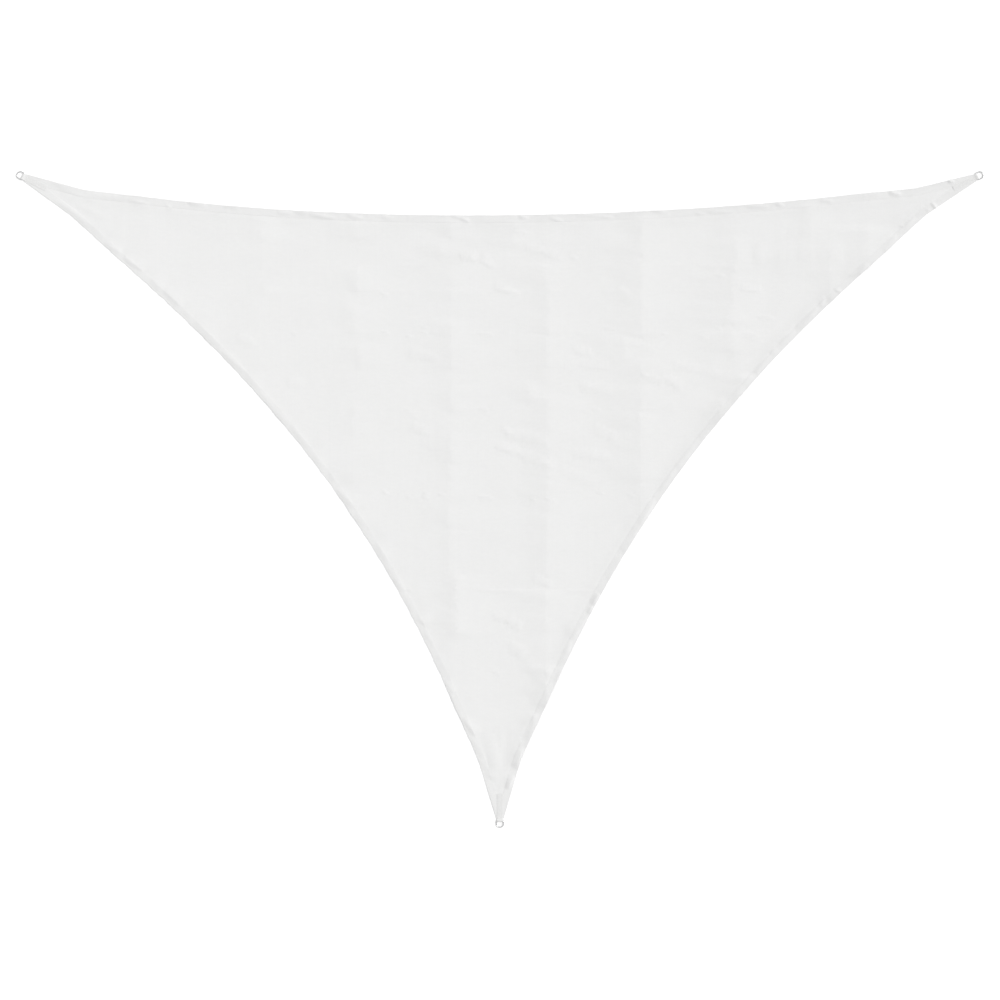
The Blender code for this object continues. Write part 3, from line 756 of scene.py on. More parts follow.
    def frame_of(self, crease: Crease) -> tuple[Array, Array, float, Array]:
        """A crease's own directions.

        Args:
            crease: The crease.

        Returns:
            Its start, the way that it runs, its length, and the way to its shaded side.
        """
        start, end = np.array((crease.x0, crease.y0)), np.array((crease.x1, crease.y1))
        length = float(np.linalg.norm(end - start))
        way = (end - start) / length
        across = np.array((-way[1], way[0]))
        return start, way, length, across if across @ self.light_way < 0 else -across

    def creases(self, points: Array) -> Array:
        """Height of every listed crease, each dying away towards its ends.

        Args:
            points: Places on the floor.

        Returns:
            One height for each place.
        """
        total = np.zeros(len(points))
        for count, crease in enumerate(HEM_CREASES + SHEET_CREASES):
            start, way, length, across = self.frame_of(crease)
            away = points - start
            run = away @ way
            aside = away @ across
            near = (run > 0) & (run < length) & (aside < crease.shaded) & (aside > -crease.lit)
            share, aside = run[near] / length, aside[near]
            fade = np.sqrt(arch(share))
            taper = self.end_width + (1 - self.end_width) * fade
            varied = 1.0 + self.crease_wear * ragged(run[near], count)
            shape = np.where(aside > 0, flank(aside, crease.shaded * taper, self.shaded_easing),
                             flank(aside, crease.lit * taper, self.lit_easing))
            total[near] += (crease.height * fade * shape * varied) ** 3
        return np.cbrt(total)

    def gathers(self, points: Array) -> Array:
        """Height of the soft ridges that fan out from the straps.

        Args:
            points: Places on the floor.

        Returns:
            One height for each place.
        """
        total = np.zeros(len(points))
        near, far = self.gather_span
        for corner in self.plan.corners.values():
            away = points - corner.middle
            for angle in self.gather_angles:
                turn = corner.heading + math.radians(angle)
                way = np.array((math.cos(turn), math.sin(turn)))
                share = np.clip((away @ way - near) / (far - near), 0.0, 1.0)
                aside = away @ np.array((-way[1], way[0]))
                fade = np.sqrt(arch(share))
                total += (self.gather_height * fade * hill(aside, self.gather_reach)) ** 3
        return np.cbrt(total)

    def strap_room(self, points: Array) -> Array:
        """How freely creases show beside the straps.

        Args:
            points: Places on the floor.

        Returns:
            0 where a strap lies on the cloth, up to 1 a little way off.
        """
        past_end, past_side = self.strap_fade
        least = np.ones(len(points))
        for corner in self.plan.corners.values():
            along, across = corner.local(points)
            past = np.maximum((along - self.lift_level) / past_end,
                              (np.abs(across) - self.strap_half) / past_side)
            least = np.minimum(least, 1.0 - hill(np.clip(past, 0.0, 1.0), 1.0))
        return least

    def corner_lift(self, points: Array) -> Array:
        """Height of the corners that the straps' lower tails lift.

        Args:
            points: Places on the floor.

        Returns:
            One height for each place, coming down past the tails' ends.
        """
        best = np.zeros(len(points))
        for corner in self.plan.corners.values():
            down = (corner.local(points)[0] - self.lift_level) / self.lift_down
            best = np.maximum(best, self.lift * hill(np.maximum(down, 0.0), 1.0))
        return best

    def hem_swell(self, points: Array) -> Array:
        """Height of the broad swells along the hem and of the fine puckers at its sewing.

        Args:
            points: Places on the floor.

        Returns:
            One height for each place.
        """
        middle, spread = self.swell_share
        wander, turning = self.seam_wander
        best = np.zeros(len(points))
        for number, edge in enumerate(self.plan.edges.values()):
            inset, distance = edge.inset(points)
            growth = np.clip((edge.from_end(distance) - self.swell_free) / self.swell_fade, 0.0, 1.0)
            places = np.column_stack((distance, np.zeros(len(points))))
            swells = patches(places, (self.swell_patch, 1.0), SWELL_SEED + number)
            outer = self.swell_edge + (1 - self.swell_edge) * np.clip(inset / self.swell_crest, 0, 1)
            inner = flank(inset - self.swell_crest, self.swell_reach, self.swell_easing)
            profile = np.where(inset < self.swell_crest, outer, inner)
            broad = self.swell_height * np.clip(middle + spread * swells, 0, 1) * growth * profile
            turns = math.pi * distance / self.seam_pitch + wander * np.sin(turning * distance)
            wave = np.sin(turns) ** 2
            chance = uneven(np.floor(distance / self.seam_pitch), number + self.seam_count)
            strong = self.seam_least + (1 - self.seam_least) * chance
            fine = self.seam_height * growth * wave * strong * hill(inset, self.seam_reach)
            best = np.maximum(best, broad + fine)
        return best

    def ripples(self, points: Array) -> Array:
        """Height of the faint ripples all over the cloth, stronger towards the right.

        Args:
            points: Places on the floor.

        Returns:
            One height for each place.
        """
        broad = patches(points, self.ripple_broad, BROAD_SEED)
        fine = patches(points, self.ripple_fine, FINE_SEED)
        free = np.clip(self.plan.inset(points) / self.swell_reach, 0.0, 1.0)
        run, start = self.ripple_run
        restless = 1.0 + self.ripple_growth * np.clip(points[:, 0] / run + start, 0.0, 1.0)
        even, broad_share, fine_share = self.ripple_shares
        return self.ripple_height * restless * free * (even + broad_share * broad + fine_share * fine)

    def height(self, points: Array) -> Array:
        """Height of the cloth's underside over the floor.

        Args:
            points: Places on the floor.

        Returns:
            One height for each place. Broad forms run softly into each other and creases lie on
            top of them.
        """
        broad = [self.upright(points), self.fold_patches(points), self.corner_lift(points),
                 self.hem_swell(points), self.gathers(points)]
        blended = sum(form ** 4 for form in broad) ** 0.25
        sharp = (self.level(points) + self.creases(points)) * self.strap_room(points)
        return blended + sharp + self.ripples(points)


# -------------------- finishes


class Graph:
    """A material's node tree, with short ways to add and join its nodes."""

    def __init__(self, name: str) -> None:
        """Make a new material with a Principled shader.

        Args:
            name: The material's name.
        """
        self.material = bpy.data.materials.new(name)
        self.material.use_nodes = True
        self.nodes = self.material.node_tree.nodes
        self.links = self.material.node_tree.links
        self.shader = self.nodes["Principled BSDF"]

    def node(self, kind: str, *sources: object, **settings: object) -> bpy.types.Node:
        """Add a node.

        Args:
            kind: Its type.
            *sources: What its first inputs take, in order: sockets or plain numbers.
            **settings: Its other settings by name.

        Returns:
            The new node.
        """
        made = self.nodes.new(kind)
        for name, value in settings.items():
            setattr(made, name, value)
        for source, socket in zip(sources, made.inputs):
            self.join(source, socket)
        return made

    def join(self, source: object, socket: bpy.types.NodeSocket) -> None:
        """Lead a value into a socket.

        Args:
            source: Another socket, or a plain number.
            socket: The input that takes it.
        """
        if isinstance(source, bpy.types.NodeSocket):
            self.links.new(source, socket)
        else:
            socket.default_value = source

    def calc(self, operation: str, a: object, b: object = 0.0) -> bpy.types.NodeSocket:
        """Work out a number from one or two others."""
        return self.node("ShaderNodeMath", a, b, operation=operation).outputs[0]

    def total(self, *sources: object) -> bpy.types.NodeSocket:
        """The sum of several numbers."""
        return reduce(lambda a, b: self.calc("ADD", a, b), sources)

    def scaled(self, source: object, factor: float, offset: float = 0.0) -> bpy.types.NodeSocket:
        """A value times a factor plus an offset."""
        return self.node("ShaderNodeMath", source, factor, offset,
                         operation="MULTIPLY_ADD").outputs[0]

    def spread(self, source: object, width: float, middle: float = 0.0) -> bpy.types.NodeSocket:
        """A value between 0 and 1, spread over a width round a middle."""
        return self.scaled(source, width, middle - width / 2)

    def wave(self, place: object) -> bpy.types.NodeSocket:
        """The sine of a place counted in turns, brought to 0 to 1."""
        return self.scaled(self.calc("SINE", self.scaled(place, 2 * math.pi)), 0.5, 0.5)

    def rib(self, place: object) -> bpy.types.NodeSocket:
        """A round rib over every whole count of a place, between 0 and 1."""
        return self.calc("ABSOLUTE", self.calc("SINE", self.scaled(place, math.pi)))

    def split(self, vector: bpy.types.NodeSocket) -> bpy.types.NodeOutputs:
        """The X, Y and Z of a vector."""
        return self.node("ShaderNodeSeparateXYZ", vector).outputs

    def clouds(self, vector: bpy.types.NodeSocket, stretch: Triple,
               detail: float) -> bpy.types.NodeSocket:
        """Soft noise.

        Args:
            vector: Where it is read.
            stretch: The number of patches to a metre each way.
            detail: How much finer noise lies in it.

        Returns:
            A value between 0 and 1.
        """
        mapping = self.node("ShaderNodeMapping", vector)
        mapping.inputs["Scale"].default_value = stretch
        made = self.node("ShaderNodeTexNoise", mapping.outputs[0])
        made.inputs["Scale"].default_value = 1.0
        made.inputs["Detail"].default_value = detail
        return made.outputs["Fac"]

    def grey(self, level: object, warmth: float = 0.0) -> bpy.types.NodeSocket:
        """A colour of a grey level, a little warmer or cooler."""
        return self.node("ShaderNodeCombineColor", level, level,
                         self.scaled(level, 1.0 - warmth)).outputs[0]

    def bump(self, height: object, distance: float, strength: float) -> None:
        """Raise the shader's surface.

        Args:
            height: A socket between 0 and 1.
            distance: How high 1 stands.
            strength: How strongly it shows.
        """
        made = self.node("ShaderNodeBump")
        made.inputs["Distance"].default_value = distance
        made.inputs["Strength"].default_value = strength
        self.join(height, made.inputs["Height"])
        self.join(made.outputs[0], self.shader.inputs["Normal"])

    def finish(self, colour: bpy.types.NodeSocket, roughness: object,
               **constants: float) -> bpy.types.Material:
        """Join colour and roughness to the shader and set its plain numbers.

        Args:
            colour: The base colour.
            roughness: A socket or a number.
            **constants: Shader inputs by name, with _ for a space.

        Returns:
            The finished material.
        """
        self.join(colour, self.shader.inputs["Base Color"])
        self.join(roughness, self.shader.inputs["Roughness"])
        for name, value in constants.items():
            self.shader.inputs[name.replace("_", " ")].default_value = value
        return self.material


@dataclass(frozen=True)
class KnitFinish:
    """White knitted cloth: upright columns of small loops with tapes laid in between them.

    A pair of a factor and an offset turns a value between 0 and 1 into another. Its colour holds
    painted shade in the knit's gaps, and a darker hem band that is part doubled cloth and part
    painted shade.
    """

    column: float = 0.0036
    course: float = 0.0026
    course_shift: float = 0.5
    loop_relief: Pair = (0.35, 0.45)
    tape_relief: float = 0.20
    level: float = 0.738
    # Painted shade: how much darker the knit is painted in its gaps than on its raised loops.
    gap_painted_shade: float = 0.12
    mottle: float = 0.030
    broad_mottle: Triple = (3.0, 5.0, 1.0)
    fine_mottle: Triple = (24.0, 60.0, 1.0)
    streaks: Triple = (140.0, 1.5, 1.0)
    # The hem band is painted darker, part for its doubled cloth and part as painted shade, in uneven
    # patches.
    hem_shade: float = 0.030
    hem_patches: Triple = (5.0, 5.0, 1.0)
    hem_patch_spread: Pair = (2.8, -0.4)
    relief: float = 0.0004
    relief_strength: float = 0.6
    roughness: Pair = (-0.15, 0.72)
    warmth: float = 0.004

    def make(self) -> bpy.types.Material:
        """Make the cloth's material, on its flat cut's own coordinates.

        Returns:
            The material. It reads the piece's map "cut" and its attribute "hem".
        """
        graph = Graph("knitted_cloth")
        cut = graph.node("ShaderNodeUVMap", uv_map="cut").outputs[0]
        across, along, _ = graph.split(cut)
        columns = graph.scaled(across, 1 / self.column)
        courses = graph.calc("ADD", graph.scaled(along, 1 / self.course),
                             graph.scaled(graph.calc("FLOOR", columns), self.course_shift))
        loop = graph.scaled(graph.wave(courses), *self.loop_relief)
        tape = graph.wave(graph.calc("ADD", courses, columns))
        raised = graph.calc("ADD", graph.calc("MULTIPLY", graph.rib(columns), loop),
                            graph.scaled(tape, self.tape_relief))
        broad = graph.clouds(cut, self.broad_mottle, detail=3.0)
        fine = graph.clouds(cut, self.fine_mottle, detail=2.0)
        streak = graph.clouds(cut, self.streaks, detail=1.0)
        # Painted darkening along the hem: part doubled cloth, part painted shade, in uneven patches.
        hem_darkening = graph.node("ShaderNodeAttribute", attribute_name="hem").outputs["Fac"]
        varied = graph.scaled(graph.clouds(cut, self.hem_patches, detail=3.0), *self.hem_patch_spread)
        hem_grey = graph.calc("MULTIPLY", hem_darkening, varied)
        tone = graph.total(graph.spread(broad, self.mottle), graph.spread(fine, self.mottle),
                           graph.spread(streak, self.mottle / 2),
                           graph.scaled(hem_grey, -self.hem_shade))
        # Painted shade: darker in the knit's gaps, lighter on its raised loops.
        level = graph.calc("ADD", graph.spread(raised, self.gap_painted_shade, self.level), tone)
        graph.bump(raised, self.relief, self.relief_strength)
        return graph.finish(
            graph.grey(level, self.warmth), graph.scaled(raised, *self.roughness),
            Sheen_Weight=0.06, Sheen_Roughness=0.5, Specular_IOR_Level=0.35)


@dataclass(frozen=True)
class WebbingFinish:
    """Close-woven white webbing: fine warp ribs along it, weft picks across them, painted shade
    between.
    """

    rib: float = 0.0012
    pick: float = 0.0016
    pick_shift: float = 0.5
    pick_relief: Pair = (0.45, 0.55)
    half_width: float = 0.018
    selvedge: float = 0.0022
    selvedge_relief: float = 0.25
    level: float = 0.725
    # Painted shade: the webbing is painted darker between its ribs and picks and lighter on them and
    # on its raised selvedges.
    rib_painted_shade: float = 0.14
    rib_darkest: float = -0.09
    soil: float = 0.05
    soil_patches: Triple = (60.0, 160.0, 1.0)
    relief: float = 0.0003
    relief_strength: float = 0.8
    roughness: Pair = (-0.12, 0.66)
    warmth: float = 0.006

    def make(self) -> bpy.types.Material:
        """Make the webbing's material, on its own run and width.

        Returns:
            The material. It reads the piece's map "weave".
        """
        graph = Graph("woven_webbing")
        weave = graph.node("ShaderNodeUVMap", uv_map="weave").outputs[0]
        run, across, _ = graph.split(weave)
        ribs = graph.scaled(across, 1 / self.rib)
        picks = graph.calc("ADD", graph.scaled(run, 1 / self.pick),
                           graph.scaled(graph.calc("FLOOR", ribs), self.pick_shift))
        edge = graph.calc("GREATER_THAN", graph.calc("ABSOLUTE", across),
                          self.half_width - self.selvedge)
        woven = graph.calc("MULTIPLY", graph.rib(ribs),
                           graph.scaled(graph.wave(picks), *self.pick_relief))
        raised = graph.calc("ADD", woven, graph.scaled(edge, self.selvedge_relief))
        soiled = graph.clouds(weave, self.soil_patches, detail=3.0)
        # Painted shade: the tone follows the weave's relief.
        tone = graph.calc("ADD", graph.scaled(raised, self.rib_painted_shade, self.level + self.rib_darkest),
                          graph.spread(soiled, self.soil))
        graph.bump(raised, self.relief, self.relief_strength)
        return graph.finish(graph.grey(tone, self.warmth), graph.scaled(raised, *self.roughness),
                            Sheen_Weight=0.10, Sheen_Roughness=0.4)


@dataclass(frozen=True)
class ThreadFinish:
    """White sewing thread with a fine twist, and painted shade in its grooves."""

    twist: float = 0.0007
    slant: float = 2.0
    level: float = 0.74
    # Painted shade: how much darker the twist's grooves are painted.
    ply_painted_shade: float = 0.10
    soil: float = 0.04
    soil_patches: Triple = (40.0, 40.0, 40.0)
    relief: float = 0.0001
    relief_strength: float = 0.6
    roughness: Pair = (-0.10, 0.55)
    warmth: float = 0.004

    def make(self) -> bpy.types.Material:
        """Make the thread's material.

        Returns:
            The material.
        """
        graph = Graph("sewing_thread")
        place = graph.node("ShaderNodeTexCoord").outputs["Object"]
        x, y, z = graph.split(place)
        slanted = graph.total(x, y, graph.scaled(z, self.slant))
        ply = graph.wave(graph.scaled(slanted, 1 / self.twist))
        soiled = graph.clouds(place, self.soil_patches, detail=1.0)
        # Painted shade in the twist's grooves.
        tone = graph.calc("ADD", graph.spread(ply, self.ply_painted_shade, self.level),
                          graph.spread(soiled, self.soil))
        graph.bump(ply, self.relief, self.relief_strength)
        return graph.finish(graph.grey(tone, self.warmth), graph.scaled(ply, *self.roughness),
                            Sheen_Weight=0.15)


@dataclass(frozen=True)
class SteelFinish:
    """Polished stainless steel with faint rubbed streaks.

    A pair is how much the tone and the roughness change.
    """

    level: float = 0.64
    roughness: float = 0.20
    rubbing: Triple = (900.0, 220.0, 900.0)
    rubbed: Pair = (0.05, 0.12)
    handling: Triple = (90.0, 90.0, 90.0)
    handled: Pair = (0.06, 0.10)
    relief: float = 0.00002
    relief_strength: float = 0.5
    warmth: float = -0.008

    def make(self) -> bpy.types.Material:
        """Make the steel's material.

        Returns:
            The material.
        """
        graph = Graph("polished_steel")
        place = graph.node("ShaderNodeTexCoord").outputs["Object"]
        rubbed = graph.clouds(place, self.rubbing, detail=3.0)
        handled = graph.clouds(place, self.handling, detail=2.0)
        tone, rough = (
            graph.calc("ADD", graph.spread(rubbed, by_rubbing, middle),
                       graph.spread(handled, by_handling))
            for by_rubbing, by_handling, middle in zip(
                self.rubbed, self.handled, (self.level, self.roughness)))
        graph.bump(rubbed, self.relief, self.relief_strength)
        return graph.finish(graph.grey(tone, self.warmth), rough, Metallic=1.0)


@dataclass(frozen=True)
class FloorFinish:
    """Plain pale floor."""

    level: float = 0.98
    mottle: float = 0.004
    clouds: Triple = (0.4, 0.4, 0.4)
    roughness: float = 0.9

    def make(self) -> bpy.types.Material:
        """Make the floor's material.

        Returns:
            The material.
        """
        graph = Graph("pale_floor")
        place = graph.node("ShaderNodeTexCoord").outputs["Object"]
        faint = graph.clouds(place, self.clouds, detail=1.0)
        return graph.finish(graph.grey(graph.spread(faint, self.mottle, self.level)),
                            self.roughness, Specular_IOR_Level=0.1)


# -------------------- at the bench


def clear_selection() -> None:
    """Leave edit mode and deselect everything."""
    if bpy.context.object and bpy.context.object.mode != "OBJECT":
        bpy.ops.object.mode_set(mode="OBJECT")
    bpy.ops.object.select_all(action="DESELECT")


def make_active(piece: bpy.types.Object) -> None:
    """Select one piece alone and make it the active one.

    Args:
        piece: The piece.
    """
    clear_selection()
    piece.select_set(True)
    bpy.context.view_layer.objects.active = piece


def pick_verts(piece: bpy.types.Object, wanted: Callable[[Vector], bool]) -> None:
    """In edit mode, select the vertices whose place passes a test, and nothing else.

    Args:
        piece: The piece in edit mode.
        wanted: The test of a vertex's place.
    """
    bpy.ops.mesh.select_mode(type="VERT")
    bpy.ops.mesh.select_all(action="DESELECT")
    shape = bmesh.from_edit_mesh(piece.data)
    for vert in shape.verts:
        vert.select = wanted(vert.co)
    shape.select_flush(True)
    bmesh.update_edit_mesh(piece.data)


def apply_place() -> None:
    """Take the active piece's place, turn and scale into its mesh."""
    bpy.ops.object.transform_apply(location=True, rotation=True, scale=True)


def extrude(step: Triple) -> None:
    """In edit mode, extrude what is selected by a step."""
    bpy.ops.mesh.extrude_region_move(TRANSFORM_OT_translate={"value": step})


def spin(angle: float, steps: int, centre: Triple, axis: Triple) -> None:
    """In edit mode, spin what is selected round an axis; a right-handed turn is positive."""
    bpy.ops.mesh.spin(steps=steps, angle=-angle, center=centre, axis=axis)


def apply_modifier(piece: bpy.types.Object, kind: str, **settings: object) -> None:
    """Add a modifier to a piece, set it and apply it.

    Args:
        piece: The piece.
        kind: The modifier's type.
        **settings: Its settings by name.
    """
    make_active(piece)
    bpy.ops.object.modifier_add(type=kind)
    modifier = piece.modifiers[-1]
    for name, value in settings.items():
        setattr(modifier, name, value)
    bpy.ops.object.modifier_apply(modifier=modifier.name)


def set_place(piece: bpy.types.Object, place: Matrix) -> None:
    """Put a piece in place and take the place into its mesh.

    Args:
        piece: The piece.
        place: Its place.
    """
    make_active(piece)
    piece.matrix_world = place
    apply_place()


def new_piece(name: str, verts: Array, faces: list[list[int]]) -> bpy.types.Object:
    """Make an object from points and faces.

    Args:
        name: Its name.
        verts: Its points, one row each.
        faces: The indices of each face's points.

    Returns:
        The new piece.
    """
    mesh = bpy.data.meshes.new(name)
    mesh.from_pydata(verts.tolist(), [], faces)
    mesh.update()
    piece = bpy.data.objects.new(name, mesh)
    bpy.context.scene.collection.objects.link(piece)
    return piece


def set_map(piece: bpy.types.Object, name: str, flat: Array) -> None:
    """Give a piece a UV map.

    Args:
        piece: The piece.
        name: The map's name.
        flat: One flat place for each vertex.
    """
    mesh = piece.data
    corners = np.empty(len(mesh.loops), np.int32)
    mesh.loops.foreach_get("vertex_index", corners)
    layer = mesh.uv_layers.new(name=name)
    layer.uv.foreach_set("vector", flat[corners].astype(np.float32).ravel())


def smooth(piece: bpy.types.Object, degrees: float) -> None:
    """Shade a piece smooth but for edges sharper than an angle."""
    make_active(piece)
    bpy.ops.object.shade_smooth_by_angle(angle=math.radians(degrees))


def dress(piece: bpy.types.Object, material: bpy.types.Material,
          replaced: tuple[str, ...] = ()) -> bpy.types.Object:
    """Give a piece its finish and tie it to the frame.

    Args:
        piece: The finished piece.
        material: Its material.
        replaced: The frame's nodes that it stands for.

    Returns:
        The same piece.
    """
    piece.data.materials.clear()
    piece.data.materials.append(material)
    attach(piece, BODY)
    if replaced:
        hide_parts(*replaced)
    piece.data.calc_loop_triangles()
    LOG.info("%s: %d triangles", piece.name, len(piece.data.loop_triangles))
    return piece


# -------------------- the cloth


class Spread:
    """Takes points one by one, and refuses one that lies too near to another."""

    def __init__(self, cell: float) -> None:
        """Start empty.

        Args:
            cell: The largest distance that will be asked for.
        """
        self.cell = cell
        self.cells: dict[tuple[int, int], list[Pair]] = {}
        self.points: list[Pair] = []

    def take(self, x: float, y: float, least: float) -> None:
        """Take a point if none lies nearer than a distance.

        Args:
            x: Where it lies, to the right.
            y: Where it lies, upwards.
            least: The distance.
        """
        column, row = int(x // self.cell), int(y // self.cell)
        for i in (column - 1, column, column + 1):
            for j in (row - 1, row, row + 1):
                for other in self.cells.get((i, j), ()):
                    if (x - other[0]) ** 2 + (y - other[1]) ** 2 < least * least:
                        return
        self.cells.setdefault((column, row), []).append((x, y))
        self.points.append((x, y))


@dataclass(frozen=True)
class HemRow:
    """One row of points along the hem's turned part."""

    # How far in from the cut edge it lies, on a hem of full width.
    inset: float
    # Height of the cloth's middle over the underside.
    height: float
    # Distance from the first row, along the cloth before it was turned.
    flat: float


@dataclass
class SailCloth:
    """The knitted cloth with its edges turned over and in."""

    plan: SailPlan
    lie: Lie
    # The knit's thickness, the finished hem's width, and the fold at the cut edge: the radius of
    # the cloth's middle and the steps of points round it.
    thick: float = 0.0005
    hem_width: float = 0.046
    turn: float = 0.00055
    turn_steps: int = 3
    # Width of the raw edge that is turned in under the hem.
    tuck: float = 0.010
    # Insets of the points that the hem's two layers share, and of its rows of sewing.
    rows: Triple = (0.014, 0.023, 0.032)
    sewn: Pair = (0.006, 0.040)
    # How far the sewing pulls the hem's top down, and how far that stands up between its rows.
    sewn_down: float = 0.0001
    puffed: float = 0.0002
    # The even net of points: its pitch, the share of that which keeps it clear of other points, and
    # its reach to either side and up and down.
    pitch: float = 0.0250
    net_close: float = 0.72
    net_right: float = 3.05
    net_up: float = 2.10
    # Points along the hem: their distance, the parts it is cut into where creases cross, and how
    # near to the hem's way a crease may run and still get them all.
    station: float = 0.0180
    station_parts: int = 4
    slant_limit: float = 0.80
    # Places read along a crease, and how near to the hem one counts as on it.
    crease_samples: int = 12
    beside_hem: float = 0.01
    # Least distance from the hem's own points, and between those on creases.
    least_gap: float = 0.0030
    feature_gap: float = 0.0065
    # Steps along a crease in feature gaps, the width of flank that gets points at its foot and the
    # steps along a level crease in pitches, and how far up and down points follow an upright fold.
    feature_step: float = 1.7
    foot_limit: float = 1.6
    level_step: float = 0.8
    fold_run: float = 2.0
    # Where two hems meet: the room between them, and the least share of their width.
    mitre_gap: float = 0.0008
    least_scale: float = 0.05
    # Greyness painted on the hem, part doubled cloth and part painted shade, where 1 is that at the
    # cut
    # edge: at the hem's inner edge, and how far past the hem it reaches as painted shade. On that
    # inner edge itself, over a band given as a share of that reach, it is painted paler: painted
    # light that hides the shade of the hem's step.
    inner_shade: float = 0.50
    edge_painted_light: float = -0.15
    painted_light_band: float = 0.01
    shade_reach: float = 0.075
    smooth_angle: float = 50.0
    node: str = "sail_cloth"
    # Distances of the hem's points along each edge, found by build.
    stations: dict[str, Array] = field(default_factory=dict)

    @property
    def first_inset(self) -> float:
        """Where the flat lower layer ends and the fold begins."""
        return self.thick / 2 + self.turn

    def hem_rows(self) -> list[HemRow]:
        """Rows of points round the fold, over the hem's top and round its turned-in edge.

        Returns:
            The rows in order, from the fold to the raw edge.
        """
        low, half_turn = self.thick / 2, self.turn / 2
        top = low + 2 * self.turn
        angles = (math.pi * step / self.turn_steps for step in range(self.turn_steps + 1))
        rows = [(self.first_inset - self.turn * math.sin(a), low + self.turn * (1 - math.cos(a)))
                for a in angles]
        outer, inner = ((inset, top - self.sewn_down) for inset in self.sewn)
        rows += [outer, *((inset, top + self.puffed) for inset in self.rows), inner]
        bend = self.hem_width - self.thick / 2 - half_turn
        rows += [(bend, top), (bend + half_turn, top - half_turn), (bend, top - self.turn),
                 (self.hem_width - self.tuck, top - self.turn)]
        found = []
        flat = 0.0
        for before, row in zip(rows, rows[1:]):
            flat += math.dist(before, row)
            found.append(HemRow(*row, flat))
        return found

    def edge_stations(self, name: str) -> Array:
        """Where the hem's points stand along one edge, closer together where creases cross it.

        Args:
            name: The edge's name.

        Returns:
            Their distances along the edge's straight line.
        """
        edge = self.plan.edges[name]
        first, last = edge.ends
        count = round((last - first) / self.station) * self.station_parts
        grid = np.linspace(first, last, count + 1)
        number = np.arange(count + 1)
        kept = number % self.station_parts == 0
        for crease in HEM_CREASES:
            start, way, length, _ = self.lie.frame_of(crease)
            steps = np.linspace(0.0, length, self.crease_samples)
            inset, distance = edge.inset(start + np.outer(steps, way))
            beside = (inset > -self.beside_hem) & (inset < self.hem_width + self.beside_hem)
            if not beside.any():
                continue
            slanted = abs(way @ edge.along) > self.slant_limit
            gap = np.abs(grid[:, None] - distance[beside][None, :]).min(axis=1)
            kept |= (gap < self.station) & (~slanted | (number % 2 == 0))
        return grid[kept]

    def hem_scale(self, name: str, distance: Array) -> Array:
        """How much narrower the hem is where it meets another on a corner's middle line."""
        room = self.plan.edges[name].hem_room(distance) - self.mitre_gap
        return np.clip(room / self.hem_width, self.least_scale, 1.0)

    def features(self) -> list[Pair]:
        """Places of everything that is narrower than the sheet's pitch.

        Returns:
            Points on its crests and feet.
        """
        found: list[Pair] = []
        step = self.feature_gap * self.feature_step
        for crease in HEM_CREASES + SHEET_CREASES:
            start, way, length, across = self.lie.frame_of(crease)
            asides = [0.0] + [aside for aside in (crease.shaded, -crease.lit)
                              if abs(aside) < self.pitch * self.foot_limit]
            for run in np.linspace(0.0, length, max(2, round(length / step)) + 1):
                found += [tuple(start + way * run + across * aside) for aside in asides]
        for patch in FOLD_PATCHES:
            heights = np.arange(patch.bottom, patch.top, step)
            found += list(zip(self.lie.patch_x(patch, heights), heights))
        reach = self.lie.crease_reach
        for crease in LEVEL_CREASES:
            for x in np.arange(crease.left, crease.right, self.pitch * self.level_step):
                found += [(x, crease.y + aside) for aside in (0.0, reach, -reach)]
        heights = np.arange(-self.fold_run, self.fold_run, self.pitch)
        for fold in UPRIGHT_FOLDS:
            found += list(zip(self.lie.crest_x(fold, heights), heights))
        return found

    def sheet_points(self) -> list[Pair]:
        """Points inside the cloth: what has a place of its own first, and an even net between.

        Returns:
            The points.
        """
        spread = Spread(self.pitch)
        rows = []
        for name, distance in self.stations.items():
            points, normals = self.plan.edges[name].rail(distance)
            full = self.hem_scale(name, distance) >= 1.0
            for inset in (*self.rows, self.hem_width):
                rows += (points + normals * inset)[full].tolist()
        rise = self.pitch * math.sqrt(3) / 2
        net = [(x + (row % 2) * self.pitch / 2, y)
               for row, y in enumerate(np.arange(-self.net_up, self.net_up, rise))
               for x in np.arange(-self.net_right, self.net_right, self.pitch)]
        wanted = [(rows, self.least_gap, self.rows[0] / 2),
                  (self.features(), self.feature_gap, self.hem_width + self.feature_gap / 2),
                  (net, self.pitch * self.net_close, self.hem_width + self.pitch / 2)]
        for points, gap, margin in wanted:
            inset = self.plan.inset(np.array(points))
            for (x, y), depth in zip(points, inset):
                if depth > margin:
                    spread.take(x, y, gap)
        return spread.points

    def lower_layer(self) -> tuple[Array, list[list[int]], dict[str, list[int]]]:
        """The flat lower layer.

        Returns:
            Its points, its triangles, and the indices of its outline's points for each edge.
        """
        outline = []
        spans = {}
        for name, distance in self.stations.items():
            points, normals = self.plan.edges[name].rail(distance)
            spans[name] = range(len(outline), len(outline) + len(points))
            stray = self.plan.edges[name].wavering(distance)[:, None]
            outline += (points + normals * (self.first_inset + stray)).tolist()
        flat = [Vector(p) for p in outline + self.sheet_points()]
        loop = list(range(len(outline)))
        placed, _, faces, origins, _, inside = delaunay_2d_cdt(flat, [], [loop], 0, SAME_FLAT, True)
        new_index = {old: new for new, olds in enumerate(origins) for old in olds}
        rims = {name: [new_index[i] for i in span] for name, span in spans.items()}
        kept = [list(face) for face, within in zip(faces, inside) if within]
        return np.array([tuple(p) for p in placed]), kept, rims

